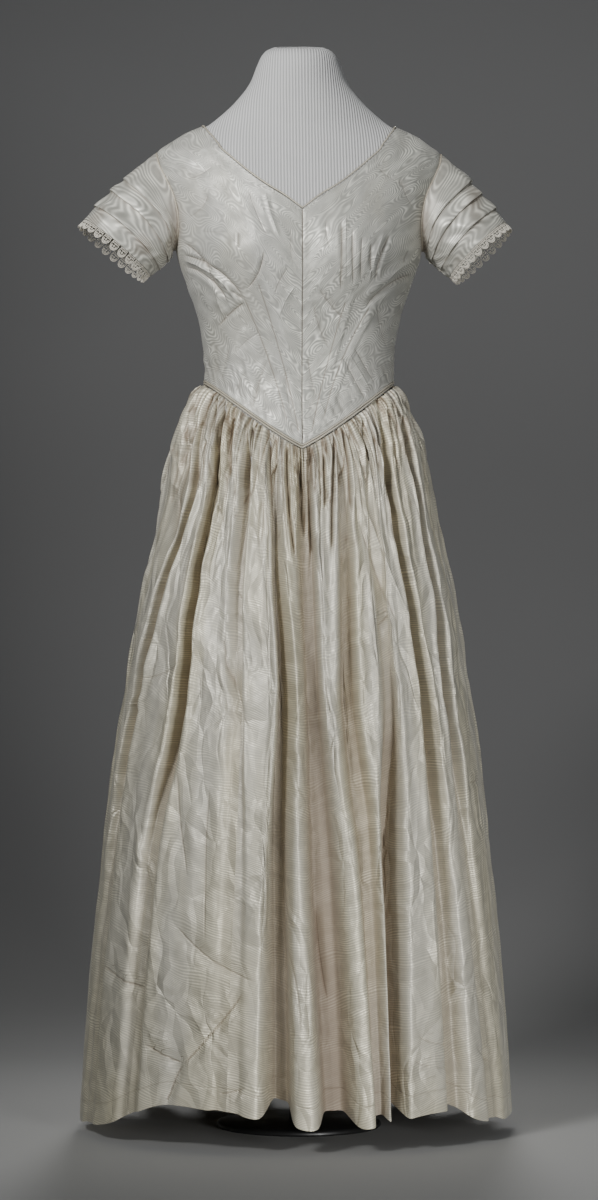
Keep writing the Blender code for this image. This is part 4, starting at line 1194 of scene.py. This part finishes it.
def skirt_piece(folds, breadth, sizes):
    """The grid of one breadth, from its hem up, with its uv and how much painted shade each point gets in a
    fold and in the gaps of the gathers.
    """
    place = skirt_places(breadth)[None, :]
    drops, shares = skirt_rows()
    height = np.full((len(drops), place.shape[1]), LEVELS[3])
    for _ in range(HEIGHT_PASSES):
        turn = folds.turn(place, height)
        seam = at_turn(WAIST_LOW, turn)
        at_hem = hem_height(turn, folds.valleys(place, turn, np.full_like(height, LEVELS[-1]))[0])
        height = mix(seam - drops, at_hem, shares)
    drop = seam - height
    held_out = GATHER_SEAM_OUT + 0.004 * (1 - np.exp(-drop / 0.004))
    point, out = hang_point(turn, height, held_out)
    x, y, z = np.moveaxis(point, -1, 0)
    reach = np.hypot(x, y)
    opened = ease(drop / FOLDS_OPEN)
    depth, slide, inside = (part * opened for part in folds.valleys(place, turn, height))
    part = place - np.floor(place)
    chord = folds.turn(np.floor(place) + 1, height) - folds.turn(np.floor(place), height)
    depth = depth + PANEL_FLATNESS * reach * (1 - np.cos(chord / 2)) * 4 * part * (1 - part) * opened
    seam_turn = folds.turn(place, np.full_like(height, WAIST_SIDE))
    rise, gap = gather_rise(seam_turn, drop, sizes.gather_strength)
    ahead = out[..., 1] < 0
    facing, behind = ease((0.1 - out[..., 1]) / 0.5), ease((0.1 + out[..., 1]) / 0.5)
    strength = 1.2 * sizes.crease_strength
    creased = crease_field(x, z, SKIRT_FRONT_CREASES, strength) * facing
    creased = creased + crease_field(x, z, SKIRT_BACK_CREASES, strength) * behind
    front_at, front_deep = crease_lines(x, z, SKIRT_FRONT_CREASES, CREASE_REACH)
    back_at, back_deep = crease_lines(x, z, SKIRT_BACK_CREASES, CREASE_REACH)
    long = crease_field(x, z, LONG_GATHERS, sizes.gather_strength, LONG_GATHER_TAPER)
    long = long * facing * ease(drop / 0.006)
    soft = soft_waves(x, y, z) * ease(drop / 0.10) * mix(0.4, 1.0, ease((z - 0.1) / 0.5))
    soft = soft * (1 - 0.8 * np.clip(inside, 0, 1))
    sideways = stacked(-out[..., 1], out[..., 0], 0.0)
    outer = point + times(out, rise + creased + long + soft - depth) + times(sideways, slide * reach)
    uv = stacked(run(lengths(outer[-12])), -drop * 1.03)
    # Painted shade deep in the folds and in the gaps between the gathers and long gathers
    values = {
        "warm": np.clip(inside**1.2 + 0.25 * gap, 0, 1),
        "hem": height - at_hem,
        "gap": np.clip(1.1 * gap + np.clip(-long / 0.007, 0, 1) ** 1.5, 0, 1),
        "crease_at": np.where(ahead, front_at, back_at),
        "crease_deep": np.where(ahead, front_deep * facing, back_deep * behind),
    }
    return outer[::-1], uv[::-1], {key: v[::-1] for key, v in values.items()}


# Materials

class Finish(Nodes):
    """A material being made."""

    def __init__(self, name, surface):
        self.material = bpy.data.materials.new(name)
        self.material.use_nodes = True
        super().__init__(self.material.node_tree)
        self.surface = self.tree.nodes["Principled BSDF"]
        for key, value in surface.items():
            self.surface.inputs[key].default_value = value

    def maths(self, operation, *values, clamp=False):
        inputs = dict(enumerate(values))
        return self.add("ShaderNodeMath", inputs, operation=operation, use_clamp=clamp).outputs[0]

    def scaled(self, value, by, plus=0.0, clamp=False):
        return self.maths("MULTIPLY_ADD", value, by, plus, clamp=clamp)

    def blend(self, amount, a, b):
        inputs = {0: amount, 6: colour(a), 7: colour(b)}
        return self.add("ShaderNodeMix", inputs, data_type="RGBA").outputs[2]

    def shade(self, amount, base, low, high):
        """A colour made darker or lighter: multiplied by a grey between low and high."""
        grey = self.add("ShaderNodeMapRange", {"Value": amount, "To Min": low, "To Max": high}).outputs[0]
        inputs = {0: 1.0, 6: colour(base), 7: grey}
        return self.add("ShaderNodeMix", inputs, data_type="RGBA", blend_type="MULTIPLY").outputs[2]

    def noise(self, vector, scale, detail=2.0, rough=0.5, output=0):
        inputs = {"Vector": vector, "Scale": scale, "Detail": detail, "Roughness": rough}
        return self.add("ShaderNodeTexNoise", inputs).outputs[output]

    def vectors(self, operation, *values):
        return self.add("ShaderNodeVectorMath", dict(enumerate(values)), operation=operation).outputs[0]

    def uv(self, across=1.0, up=1.0):
        """The cloth's own map, in metres, stretched as wanted."""
        made = self.add("ShaderNodeUVMap", {}, uv_map="cloth").outputs[0]
        return self.vectors("MULTIPLY", made, (across, up, 1.0))

    def split(self, vector):
        return self.add("ShaderNodeSeparateXYZ", {0: vector}).outputs

    def value(self, name):
        return self.add("ShaderNodeAttribute", {}, attribute_name=name).outputs["Fac"]

    def place(self):
        return self.add("ShaderNodeTexCoord", {}).outputs["Object"]

    def wave(self, phase):
        """0 to 1 and back once a unit of phase."""
        return self.scaled(self.maths("SINE", self.scaled(phase, 2 * math.pi)), 0.5, 0.5)

    def off(self, value, level):
        """How far a value lies from a level, which leaves a sharp line where it crosses it."""
        return self.maths("ABSOLUTE", self.maths("SUBTRACT", value, level))

    def line(self, distance, half_width):
        """1 within half a width of a line, fading to 0."""
        near = self.maths("DIVIDE", self.maths("ABSOLUTE", distance), half_width)
        return self.maths("SUBTRACT", 1.0, near, clamp=True)

    def step(self, value, low, high):
        inputs = {"Value": value, "From Min": low, "From Max": high}
        return self.add("ShaderNodeMapRange", inputs, interpolation_type="SMOOTHSTEP").outputs[0]

    def bump(self, height, distance, normal=None):
        inputs = {"Height": height, "Distance": distance, "Normal": normal}
        return self.add("ShaderNodeBump", inputs).outputs[0]

    def done(self, base, normal, rough=None):
        for key, value in (("Base Color", base), ("Normal", normal), ("Roughness", rough)):
            self.give(self.surface.inputs[key], value)
        return self.material


def colour(value):
    if isinstance(value, bpy.types.NodeSocket):
        return value
    return (*value[:3], 1.0)


def silk_finish(
        name, colours, base, lines, swirl, crumpling=0.0022, contrast=0.24, facets=0.0,
        seams=False, hem=False, edge_wide=0.0013):
    """Watered silk. lines is how many lines of the watering a metre run level up the cloth, and swirl
    how many more its figure winds them through. facets is how deep the flat creased patches are, where
    the cloth hangs free."""
    made = Finish(name, {"Metallic": 0.24, "Sheen Weight": 0.12, "Sheen Roughness": 0.4})
    across, up, _ = made.split(made.uv())
    warm = made.value("warm")
    figure = made.noise(made.uv(0.8, 1.6), 14.0, 1.2, 0.4)
    phase = made.scaled(figure, swirl, made.scaled(up, lines))
    phase = made.scaled(made.noise(made.uv(1.0, 5.0), 9.0), 1.5, phase)
    water = made.maths("POWER", made.wave(phase), 1.4)
    patches = made.step(made.noise(made.uv(1.0, 2.2), 26.0), 0.38, 0.62)
    shown = made.scaled(water, made.scaled(patches, 0.6, 0.4))
    base = made.shade(shown, base, 1.0 - contrast, 1.0 + 0.7 * contrast)
    streaks = made.step(made.noise(made.uv(1.0, 0.16), 11.0), 0.36, 0.66)
    base = made.blend(made.scaled(streaks, 0.4), base, colours.grey_cast)
    base = made.shade(made.noise(made.uv(1.0, 2.6), 48.0, 3.0), base, 0.90, 1.10)
    stain = made.step(made.noise(made.uv(1.0, 0.35), 8.0, 3.0, 0.6), 0.50, 0.70)
    base = made.blend(made.scaled(stain, 0.28 if hem else 0.14), base, colours.stain)
    # Painted shade: the silk turns to its deep-fold colour in folds, gaps, under tucks, at the armpit and on
    # the piping's sides; on the sleeves the same amount also paints stains
    base = made.blend(warm, base, colours.fold_shade)
    if seams:
        grooves = [(made.value(key), DART_GROOVE_WIDE, 0.65) for key in ("seam_a", "seam_b")]
        for distance, wide, dark in [*grooves, (across, FRONT_SEAM_WIDE, 0.8)]:
            base = made.blend(made.scaled(made.line(distance, wide), dark), base, colours.seam_line_and_gap_shade)
    # Painted shade along each crease's trough, which also gets a bump below
    edge = made.scaled(made.line(made.value("crease_at"), edge_wide), made.value("crease_deep"))
    base = made.blend(made.scaled(edge, 0.45, clamp=True), base, colours.fold_shade)
    wrinkled = made.step(made.noise(made.uv(), 7.0, 1.0), 0.46, 0.66)
    crumple = made.off(made.noise(made.uv(), 24.0, 2.5, 0.55), 0.5)
    crumple = made.scaled(crumple, made.scaled(wrinkled, -1.5, -0.5))
    crease = made.off(made.noise(made.uv(1.3, 0.8), 9.0, 1.5), 0.52)
    folded = made.bump(made.scaled(crease, -1.5, crumple), crumpling)
    if facets:
        warp = made.noise(made.uv(), 9.0, output="Color")
        bent = made.vectors("MULTIPLY_ADD", warp, (0.07, 0.10, 0.0), made.uv(1.0, 0.55))
        inputs = {"Vector": bent, "Scale": 24.0}
        cells = made.add("ShaderNodeTexVoronoi", inputs, feature="DISTANCE_TO_EDGE").outputs["Distance"]
        cells = made.scaled(cells, made.scaled(wrinkled, 0.6, 0.4))
        folded = made.bump(made.scaled(cells, made.scaled(warm, -0.9, 1.0, clamp=True)), facets, folded)
    if hem:
        # Painted shade in the gaps between the gathers, in the seam lines' dark colour
        base = made.blend(made.scaled(made.value("gap"), 0.8), base, colours.seam_line_and_gap_shade)
        # A faint line of painted shade, with a bump, where the hem's facing ends
        facing = made.line(made.maths("SUBTRACT", made.value("hem"), HEM_FACING), 0.0015)
        base = made.blend(made.scaled(facing, 0.14), base, colours.fold_shade)
        folded = made.bump(made.scaled(facing, -1.0), 0.0004, folded)
    folded = made.bump(made.scaled(edge, -1.0), 0.0010, folded)
    weave = made.scaled(made.noise(made.uv(60.0, 900.0), 1.0), 0.5)
    weave = made.scaled(made.wave(made.scaled(up, SILK_RIBS)), 0.25, weave)
    rough = made.scaled(shown, -0.14, made.scaled(warm, 0.3, 0.50))
    return made.done(base, made.bump(made.scaled(shown, 0.7, weave), 0.00016, folded), rough)


def lace_finish(colours):
    made = Finish("cotton_lace", {"Roughness": 0.85, "Sheen Weight": 0.3})
    twist = made.wave(made.scaled(made.split(made.place())[0], 900.0))
    base = made.shade(made.noise(made.place(), 300.0), colours.lace, 0.85, 1.1)
    return made.done(base, made.bump(twist, 0.0001))


def cover_finish(colours):
    """Ribbed jersey: fine upright ribs with painted shade in the furrows between them, and knitted rows
    across them.
    """
    made = Finish("ribbed_jersey", {"Roughness": 0.9, "Sheen Weight": 0.15})
    across, up, _ = made.split(made.uv())
    wander = made.scaled(made.noise(made.uv(1.0, 0.3), 30.0), 0.5)
    rib = made.wave(made.scaled(across, 1 / JERSEY_RIB, wander))
    rows = made.wave(made.scaled(up, 1 / JERSEY_ROW))
    base = made.shade(rib, colours.cover, 0.60, 1.06)
    base = made.shade(made.noise(made.uv(), 40.0), base, 0.95, 1.03)
    return made.done(base, made.bump(made.scaled(rows, 0.15, rib), 0.0006))


def stand_finish(colours):
    made = Finish("black_enamel", {})
    scuffs = made.noise(made.place(), 60.0, 5.0)
    base = made.shade(scuffs, colours.stand, 0.8, 1.5)
    return made.done(base, made.bump(scuffs, 0.0001), made.scaled(scuffs, 0.3, 0.25))


def sweep_finish(colours):
    """A pale floor that turns into a grey backdrop behind the dress. It is seen through from behind, and
    the light for the dress's back passes it."""
    made = Finish("floor_and_backdrop", {"Roughness": 0.9})
    place = made.split(made.place())
    base = made.blend(made.step(place[1], 0.2, 1.45), colours.floor, colours.backdrop)
    # Painted light: the backdrop is made lighter towards its top
    base = made.shade(made.step(place[2], 0.7, 1.6), base, 1.0, 1.45)
    made.done(made.shade(made.noise(made.place(), 3.0), base, 0.985, 1.015), None)
    behind = made.add("ShaderNodeNewGeometry", {}).outputs["Backfacing"]
    clear = made.add("ShaderNodeBsdfTransparent", {}).outputs[0]
    to_light = made.add("ShaderNodeLightPath", {}).outputs["Is Shadow Ray"]
    open_to = made.maths("MAXIMUM", behind, to_light)
    shown = made.add("ShaderNodeMixShader", {0: open_to, 1: made.surface.outputs[0], 2: clear}).outputs[0]
    made.give(made.tree.nodes["Material Output"].inputs["Surface"], shown)
    return made.material


# Settings

def strength_property(name, description):
    return bpy.props.FloatProperty(
        name=name, description=description, default=1.0, min=0.0, max=2.0, subtype="FACTOR")


class DressSizes(bpy.types.PropertyGroup):
    cloth_thickness: bpy.props.FloatProperty(
        name="Silk thickness", description="Thickness of the silk as it shows", default=0.0006,
        min=0.0003, max=0.002, precision=5, unit="LENGTH")
    crease_strength: strength_property(
        "Crease strength", "How deep the creases are, against the photograph's")
    gather_strength: strength_property("Gather strength", "How far the waist's gathers stand out")
    camera_distance: bpy.props.FloatProperty(
        name="Camera distance", description="From the camera to the dress's middle", default=5.0,
        min=2.0, max=12.0, unit="LENGTH")


def colour_property(name, value):
    return bpy.props.FloatVectorProperty(
        name=name, description=name + ", in linear light", default=value, min=0.0, max=1.0, subtype="COLOR")


class DressColours(bpy.types.PropertyGroup):
    bodice: colour_property("Silk of the bodice", (0.745, 0.74, 0.66))
    skirt: colour_property("Silk of the skirt", (0.80, 0.75, 0.58))
    sleeve: colour_property("Silk of the sleeves", (0.69, 0.68, 0.60))
    piping: colour_property("Silk of the piping", (0.62, 0.57, 0.45))
    grey_cast: colour_property("Silk where it is greyer", (0.67, 0.66, 0.62))
    # Colour of the painted shade in the folds, the gathers' gaps, under the tucks, along creases, on the
    # piping's sides and at the armpit; on the sleeves it also paints stains
    fold_shade: colour_property("Silk deep in its folds", (0.205, 0.127, 0.078))
    stain: colour_property("Old stains", (0.66, 0.59, 0.37))
    # The seam lines' own dark colour, also used for painted shade in the gaps between the gathers
    seam_line_and_gap_shade: colour_property("Seam lines", (0.20, 0.14, 0.09))
    lace: colour_property("Lace", (0.86, 0.81, 0.70))
    cover: colour_property("Form's cover", (0.74, 0.74, 0.73))
    stand: colour_property("Stand", (0.012, 0.012, 0.012))
    floor: colour_property("Floor", (0.46, 0.46, 0.45))
    backdrop: colour_property("Backdrop", (0.125, 0.125, 0.125))


def settings():
    return bpy.context.scene.dress_sizes, bpy.context.scene.dress_colours


def cloth_piece(node, grid, silk):
    """Sets a grid of silk, as a two-sided sheet, in place of its CAD node."""
    outer, uv, values = grid
    piece = shell(node + "_silk", outer, settings()[0].cloth_thickness, silk, uv, values)
    finished(piece, "silk", node)
    cut_cloth(outer)


# Operators, one for each group of like pieces

class DRESS_OT_bodice(bpy.types.Operator):
    """Builds the two fronts and the two backs of the bodice, with their creases and dart seams"""
    bl_idname = "dress.bodice"
    bl_label = "Bodice"

    def execute(self, context):
        sizes, colours = settings()
        silk = silk_finish(
            "watered_silk_bodice", colours, colours.bodice, 110.0, 44.0, contrast=0.44, seams=True)
        plain = silk_finish("watered_silk_bodice_back", colours, colours.bodice, 110.0, 44.0, contrast=0.48)
        for front, left in ((True, True), (True, False), (False, True), (False, False)):
            node = f"bodice_{'front' if front else 'back'}_{'left' if left else 'right'}"
            grid = bodice_piece(front, left, sizes.crease_strength)
            cloth_piece(node, grid, silk if front else plain)
        return {"FINISHED"}


class DRESS_OT_piping(bpy.types.Operator):
    """Builds the cords round the neck and the waist, and those in the armhole seams"""
    bl_idname = "dress.piping"
    bl_label = "Piping"

    def execute(self, context):
        _, colours = settings()
        silk = silk_finish("watered_silk_piping", colours, colours.piping, 500.0, 2.0, 0.001)
        turns = np.linspace(-math.pi + 0.02, math.pi - 0.02, 521)
        lines = (
            ("neck_piping", neck_height, -CORD_RADIUS, 0.00012),
            ("waist_piping_upper", waist_height, CORD_RADIUS + SEAM_GAP / 2, 0.00016),
            ("waist_piping_lower", waist_height, -CORD_RADIUS - SEAM_GAP / 2, 0.00016),
        )
        for seed, (node, line, drop, uneven) in enumerate(lines, 51):
            height = seam_offset(line, turns, drop) + uneven * ripple(turns * 0.12, 0 * turns, seed, 0.02)
            place, out = on_body(turns, height, CORD_OUT), body_normal(turns, height)
            finished(cord(node + "_cord", place, out, CORD_RADIUS, 12, silk), "silk", node)
        turn, height = armhole(np.linspace(-math.pi, math.pi, 181)[:-1], 0.0002)
        line, out = on_body(turn, height, BODICE_OUT + 0.0006), body_normal(turn, height)
        for cuff in CUFFS:
            place, away = (part[:: cuff.mirror] * (cuff.mirror, 1, 1) for part in (line, out))
            name = "armhole_cord_" + cuff.side
            finished(cord(name, place, away, ARMHOLE_CORD_RADIUS, 10, silk, closed=True), "silk")
        return {"FINISHED"}


class DRESS_OT_sleeves(bpy.types.Operator):
    """Builds the two sleeves with their folded tucks"""
    bl_idname = "dress.sleeves"
    bl_label = "Sleeves"

    def execute(self, context):
        sizes, colours = settings()
        silk = silk_finish("watered_silk_sleeve", colours, colours.sleeve, 150.0, 26.0, 0.003, contrast=0.45)
        for cuff in CUFFS:
            outer, uv, values = sleeve_piece(cuff, sizes.crease_strength)
            values = {key: on_side(cuff, v) for key, v in values.items()}
            grid = on_side(cuff, outer), on_side(cuff, uv), values
            cloth_piece(f"sleeve_{cuff.side}", grid, silk)
        return {"FINISHED"}


class DRESS_OT_lace(bpy.types.Operator):
    """Builds the scalloped lace of each cuff in two strips"""
    bl_idname = "dress.lace"
    bl_label = "Lace"

    def execute(self, context):
        _, colours = settings()
        thread = lace_finish(colours)
        motif = scallop_motif(2 * math.pi * CUFF_MEAN_RADIUS / SCALLOPS, thread)
        half = SCALLOPS // 2
        for cuff in CUFFS:
            for place, first in (("front", 0.0), ("back", math.pi)):
                angle = first + math.pi * (np.arange(half) + 0.5) / half
                places, along, fall = (part * (cuff.mirror, 1, 1) for part in lace_frame(cuff, angle))
                node = f"lace_{cuff.side}_{place}"
                out = np.cross(along, -fall)
                piece = repeat_along(node + "_braid", places, along, out, motif, thread, 0.03, 7)
                finished(piece, "lace", node)
        bpy.data.objects.remove(motif)
        return {"FINISHED"}


class DRESS_OT_skirt(bpy.types.Operator):
    """Builds the seven gathered breadths of the skirt"""
    bl_idname = "dress.skirt"
    bl_label = "Skirt"

    def execute(self, context):
        sizes, colours = settings()
        silk = silk_finish(
            "watered_silk_skirt", colours, colours.skirt, 360.0, 8.0, 0.003, contrast=0.33, facets=0.015,
            hem=True, edge_wide=0.0020)
        folds = Folds()
        for breadth in BREADTHS:
            grid = skirt_piece(folds, breadth, sizes)
            cloth_piece(breadth.node, grid, silk)
        return {"FINISHED"}


class DRESS_OT_form(bpy.types.Operator):
    """Builds the limbless form in its ribbed cover, its pole and its round base"""
    bl_idname = "dress.form"
    bl_label = "Form and stand"

    def execute(self, context):
        _, colours = settings()
        steel = stand_finish(colours)
        turns = np.linspace(-math.pi, math.pi, 193)
        spans = ((FORM_FOOT, 1.28, 56), (1.285, 1.366, 34), (1.3675, 1.380, 12))
        heights = np.concatenate([np.linspace(*span) for span in spans])[:, None]
        out = body_normal(turns, np.minimum(heights, 1.36), FORM_CUP_FULL)
        outer = body_point(turns, heights, FORM_CUP_FULL) - out * FORM_EASE
        across = run(np.linalg.norm(np.diff(outer, axis=1), axis=-1).T).T
        across = across - across[:, len(turns) // 2, None]
        rows, columns = outer.shape[:2]
        ring = np.arange(columns - 1)[None, :]
        faces = [grid_faces(rows, columns), ring[:, ::-1], ring + columns * (rows - 1)]
        piece = add_mesh("form_cover", outer, faces, cover_finish(colours), stacked(across, heights))
        merged(piece, 1e-6)
        finished(piece, "form_cover", "dress_form")
        rim = ((0.0, 0.0), (BASE_RADIUS - 0.002, 0.0), (BASE_RADIUS, 0.002), (BASE_RADIUS, 0.0045))
        rim += ((BASE_RADIUS - 0.0015, 0.0068), (BASE_RADIUS - 0.0045, BASE_THICK), (0.0, BASE_THICK))
        self.turned("base_plate", rim, steel, 96, "stand_base")
        low, high = BASE_THICK + SEAM_GAP, FORM_FOOT - 0.001
        pole = ((0.0, low), (POLE_RADIUS - 0.0006, low), (POLE_RADIUS, low + 0.0006))
        pole += ((POLE_RADIUS, high), (0.0, high))
        self.turned("stand_rod", pole, steel, 40, "stand_pole")
        return {"FINISHED"}

    def turned(self, name, outline, material, sides, node):
        """A solid turned round the upright axis from (radius, height) points, lowest first."""
        angle = 2 * math.pi * np.arange(sides) / sides
        radius, height = np.array(outline).T[:, :, None]
        radius = np.maximum(radius, 1e-5)
        points = stacked(radius * np.cos(angle), radius * np.sin(angle), height)
        piece = add_mesh(name, points, [grid_faces(len(outline), sides, closed=True)], material)
        merged(piece, 5e-5)
        piece.data.set_sharp_from_angle(angle=math.radians(40))
        finished(piece, "stand", node)


class DRESS_OT_stage(bpy.types.Operator):
    """Sets the floor, the backdrop, the soft lights, one of them for the back, and the camera"""
    bl_idname = "dress.stage"
    bl_label = "Stage"

    def execute(self, context):
        sizes, colours = settings()
        curve = [(0.7 + 0.9 * math.sin(a), 0.9 - 0.9 * math.cos(a)) for a in np.linspace(0, QUARTER, 25)]
        y, z = np.array([(-6.0, 0.0), (-1.0, 0.0), *curve, (1.6, 7.0)]).T
        points = stacked(np.array([-7.0, 7.0]), y[:, None], z[:, None])
        add_mesh("floor_and_backdrop", points, [grid_faces(len(y), 2)], sweep_finish(colours))
        self.light("key_light", (-1.9, -2.7, 2.8), (0, 0, 1.46), 0.9, 11.8, 50)
        self.light("fill_light", (1.7, -3.9, 0.5), (-0.05, 0, 0.16), 1.4, 5.3, 37)
        self.light("back_light", (0.4, 4.3, 1.7), (0, 0, 0.75), 1.2, 4.2, 28)
        world = bpy.data.worlds.new("soft_room")
        world.use_nodes = True
        room = world.node_tree.nodes["Background"].inputs
        room["Color"].default_value = (0.9, 0.95, 1.0, 1.0)
        room["Strength"].default_value = 0.13
        context.scene.world = world
        lens = bpy.data.cameras.new("camera")
        lens.lens = SENSOR_WIDE * 5.0 / VIEW_TALL
        lens.clip_end = 50.0
        camera = bpy.data.objects.new("camera", lens)
        around = math.radians(-2.5)
        far = sizes.camera_distance
        camera.location = (far * math.sin(around), -far * math.cos(around), CAMERA_HEIGHT)
        camera.rotation_euler = (QUARTER, 0.0, around)
        context.scene.collection.objects.link(camera)
        context.scene.camera = camera
        return {"FINISHED"}

    def light(self, name, place, aim, size, power, spread):
        lamp = bpy.data.lights.new(name, "AREA")
        lamp.shape = "DISK"
        lamp.size = size
        lamp.energy = power
        lamp.spread = math.radians(spread)
        made = bpy.data.objects.new(name, lamp)
        made.location = place
        made.rotation_euler = (Vector(aim) - Vector(place)).to_track_quat("-Z", "Y").to_euler()
        bpy.context.scene.collection.objects.link(made)


STEPS = [
    DRESS_OT_stage, DRESS_OT_form, DRESS_OT_bodice, DRESS_OT_piping, DRESS_OT_sleeves, DRESS_OT_lace,
    DRESS_OT_skirt,
]


class DRESS_PT_panel(bpy.types.Panel):
    """Lists the dress's pieces and settings"""
    bl_label = "Silk Dress"
    bl_idname = "DRESS_PT_panel"
    bl_space_type = "VIEW_3D"
    bl_region_type = "UI"
    bl_category = "Silk Dress"

    def draw(self, context):
        for group in (context.scene.dress_sizes, context.scene.dress_colours):
            for name in type(group).__annotations__:
                self.layout.prop(group, name)
        for step in STEPS:
            self.layout.operator(step.bl_idname)


CLASSES = [DressSizes, DressColours, *STEPS, DRESS_PT_panel]


def register():
    for item in CLASSES:
        bpy.utils.register_class(item)
    bpy.types.Scene.dress_sizes = bpy.props.PointerProperty(type=DressSizes)
    bpy.types.Scene.dress_colours = bpy.props.PointerProperty(type=DressColours)


def unregister():
    del bpy.types.Scene.dress_colours
    del bpy.types.Scene.dress_sizes
    for item in reversed(CLASSES):
        bpy.utils.unregister_class(item)


def main():
    register()
    for step in STEPS:
        operator = step.bl_idname.split(".")[1]
        getattr(bpy.ops.dress, operator)()


if __name__ == "__main__":
    main()
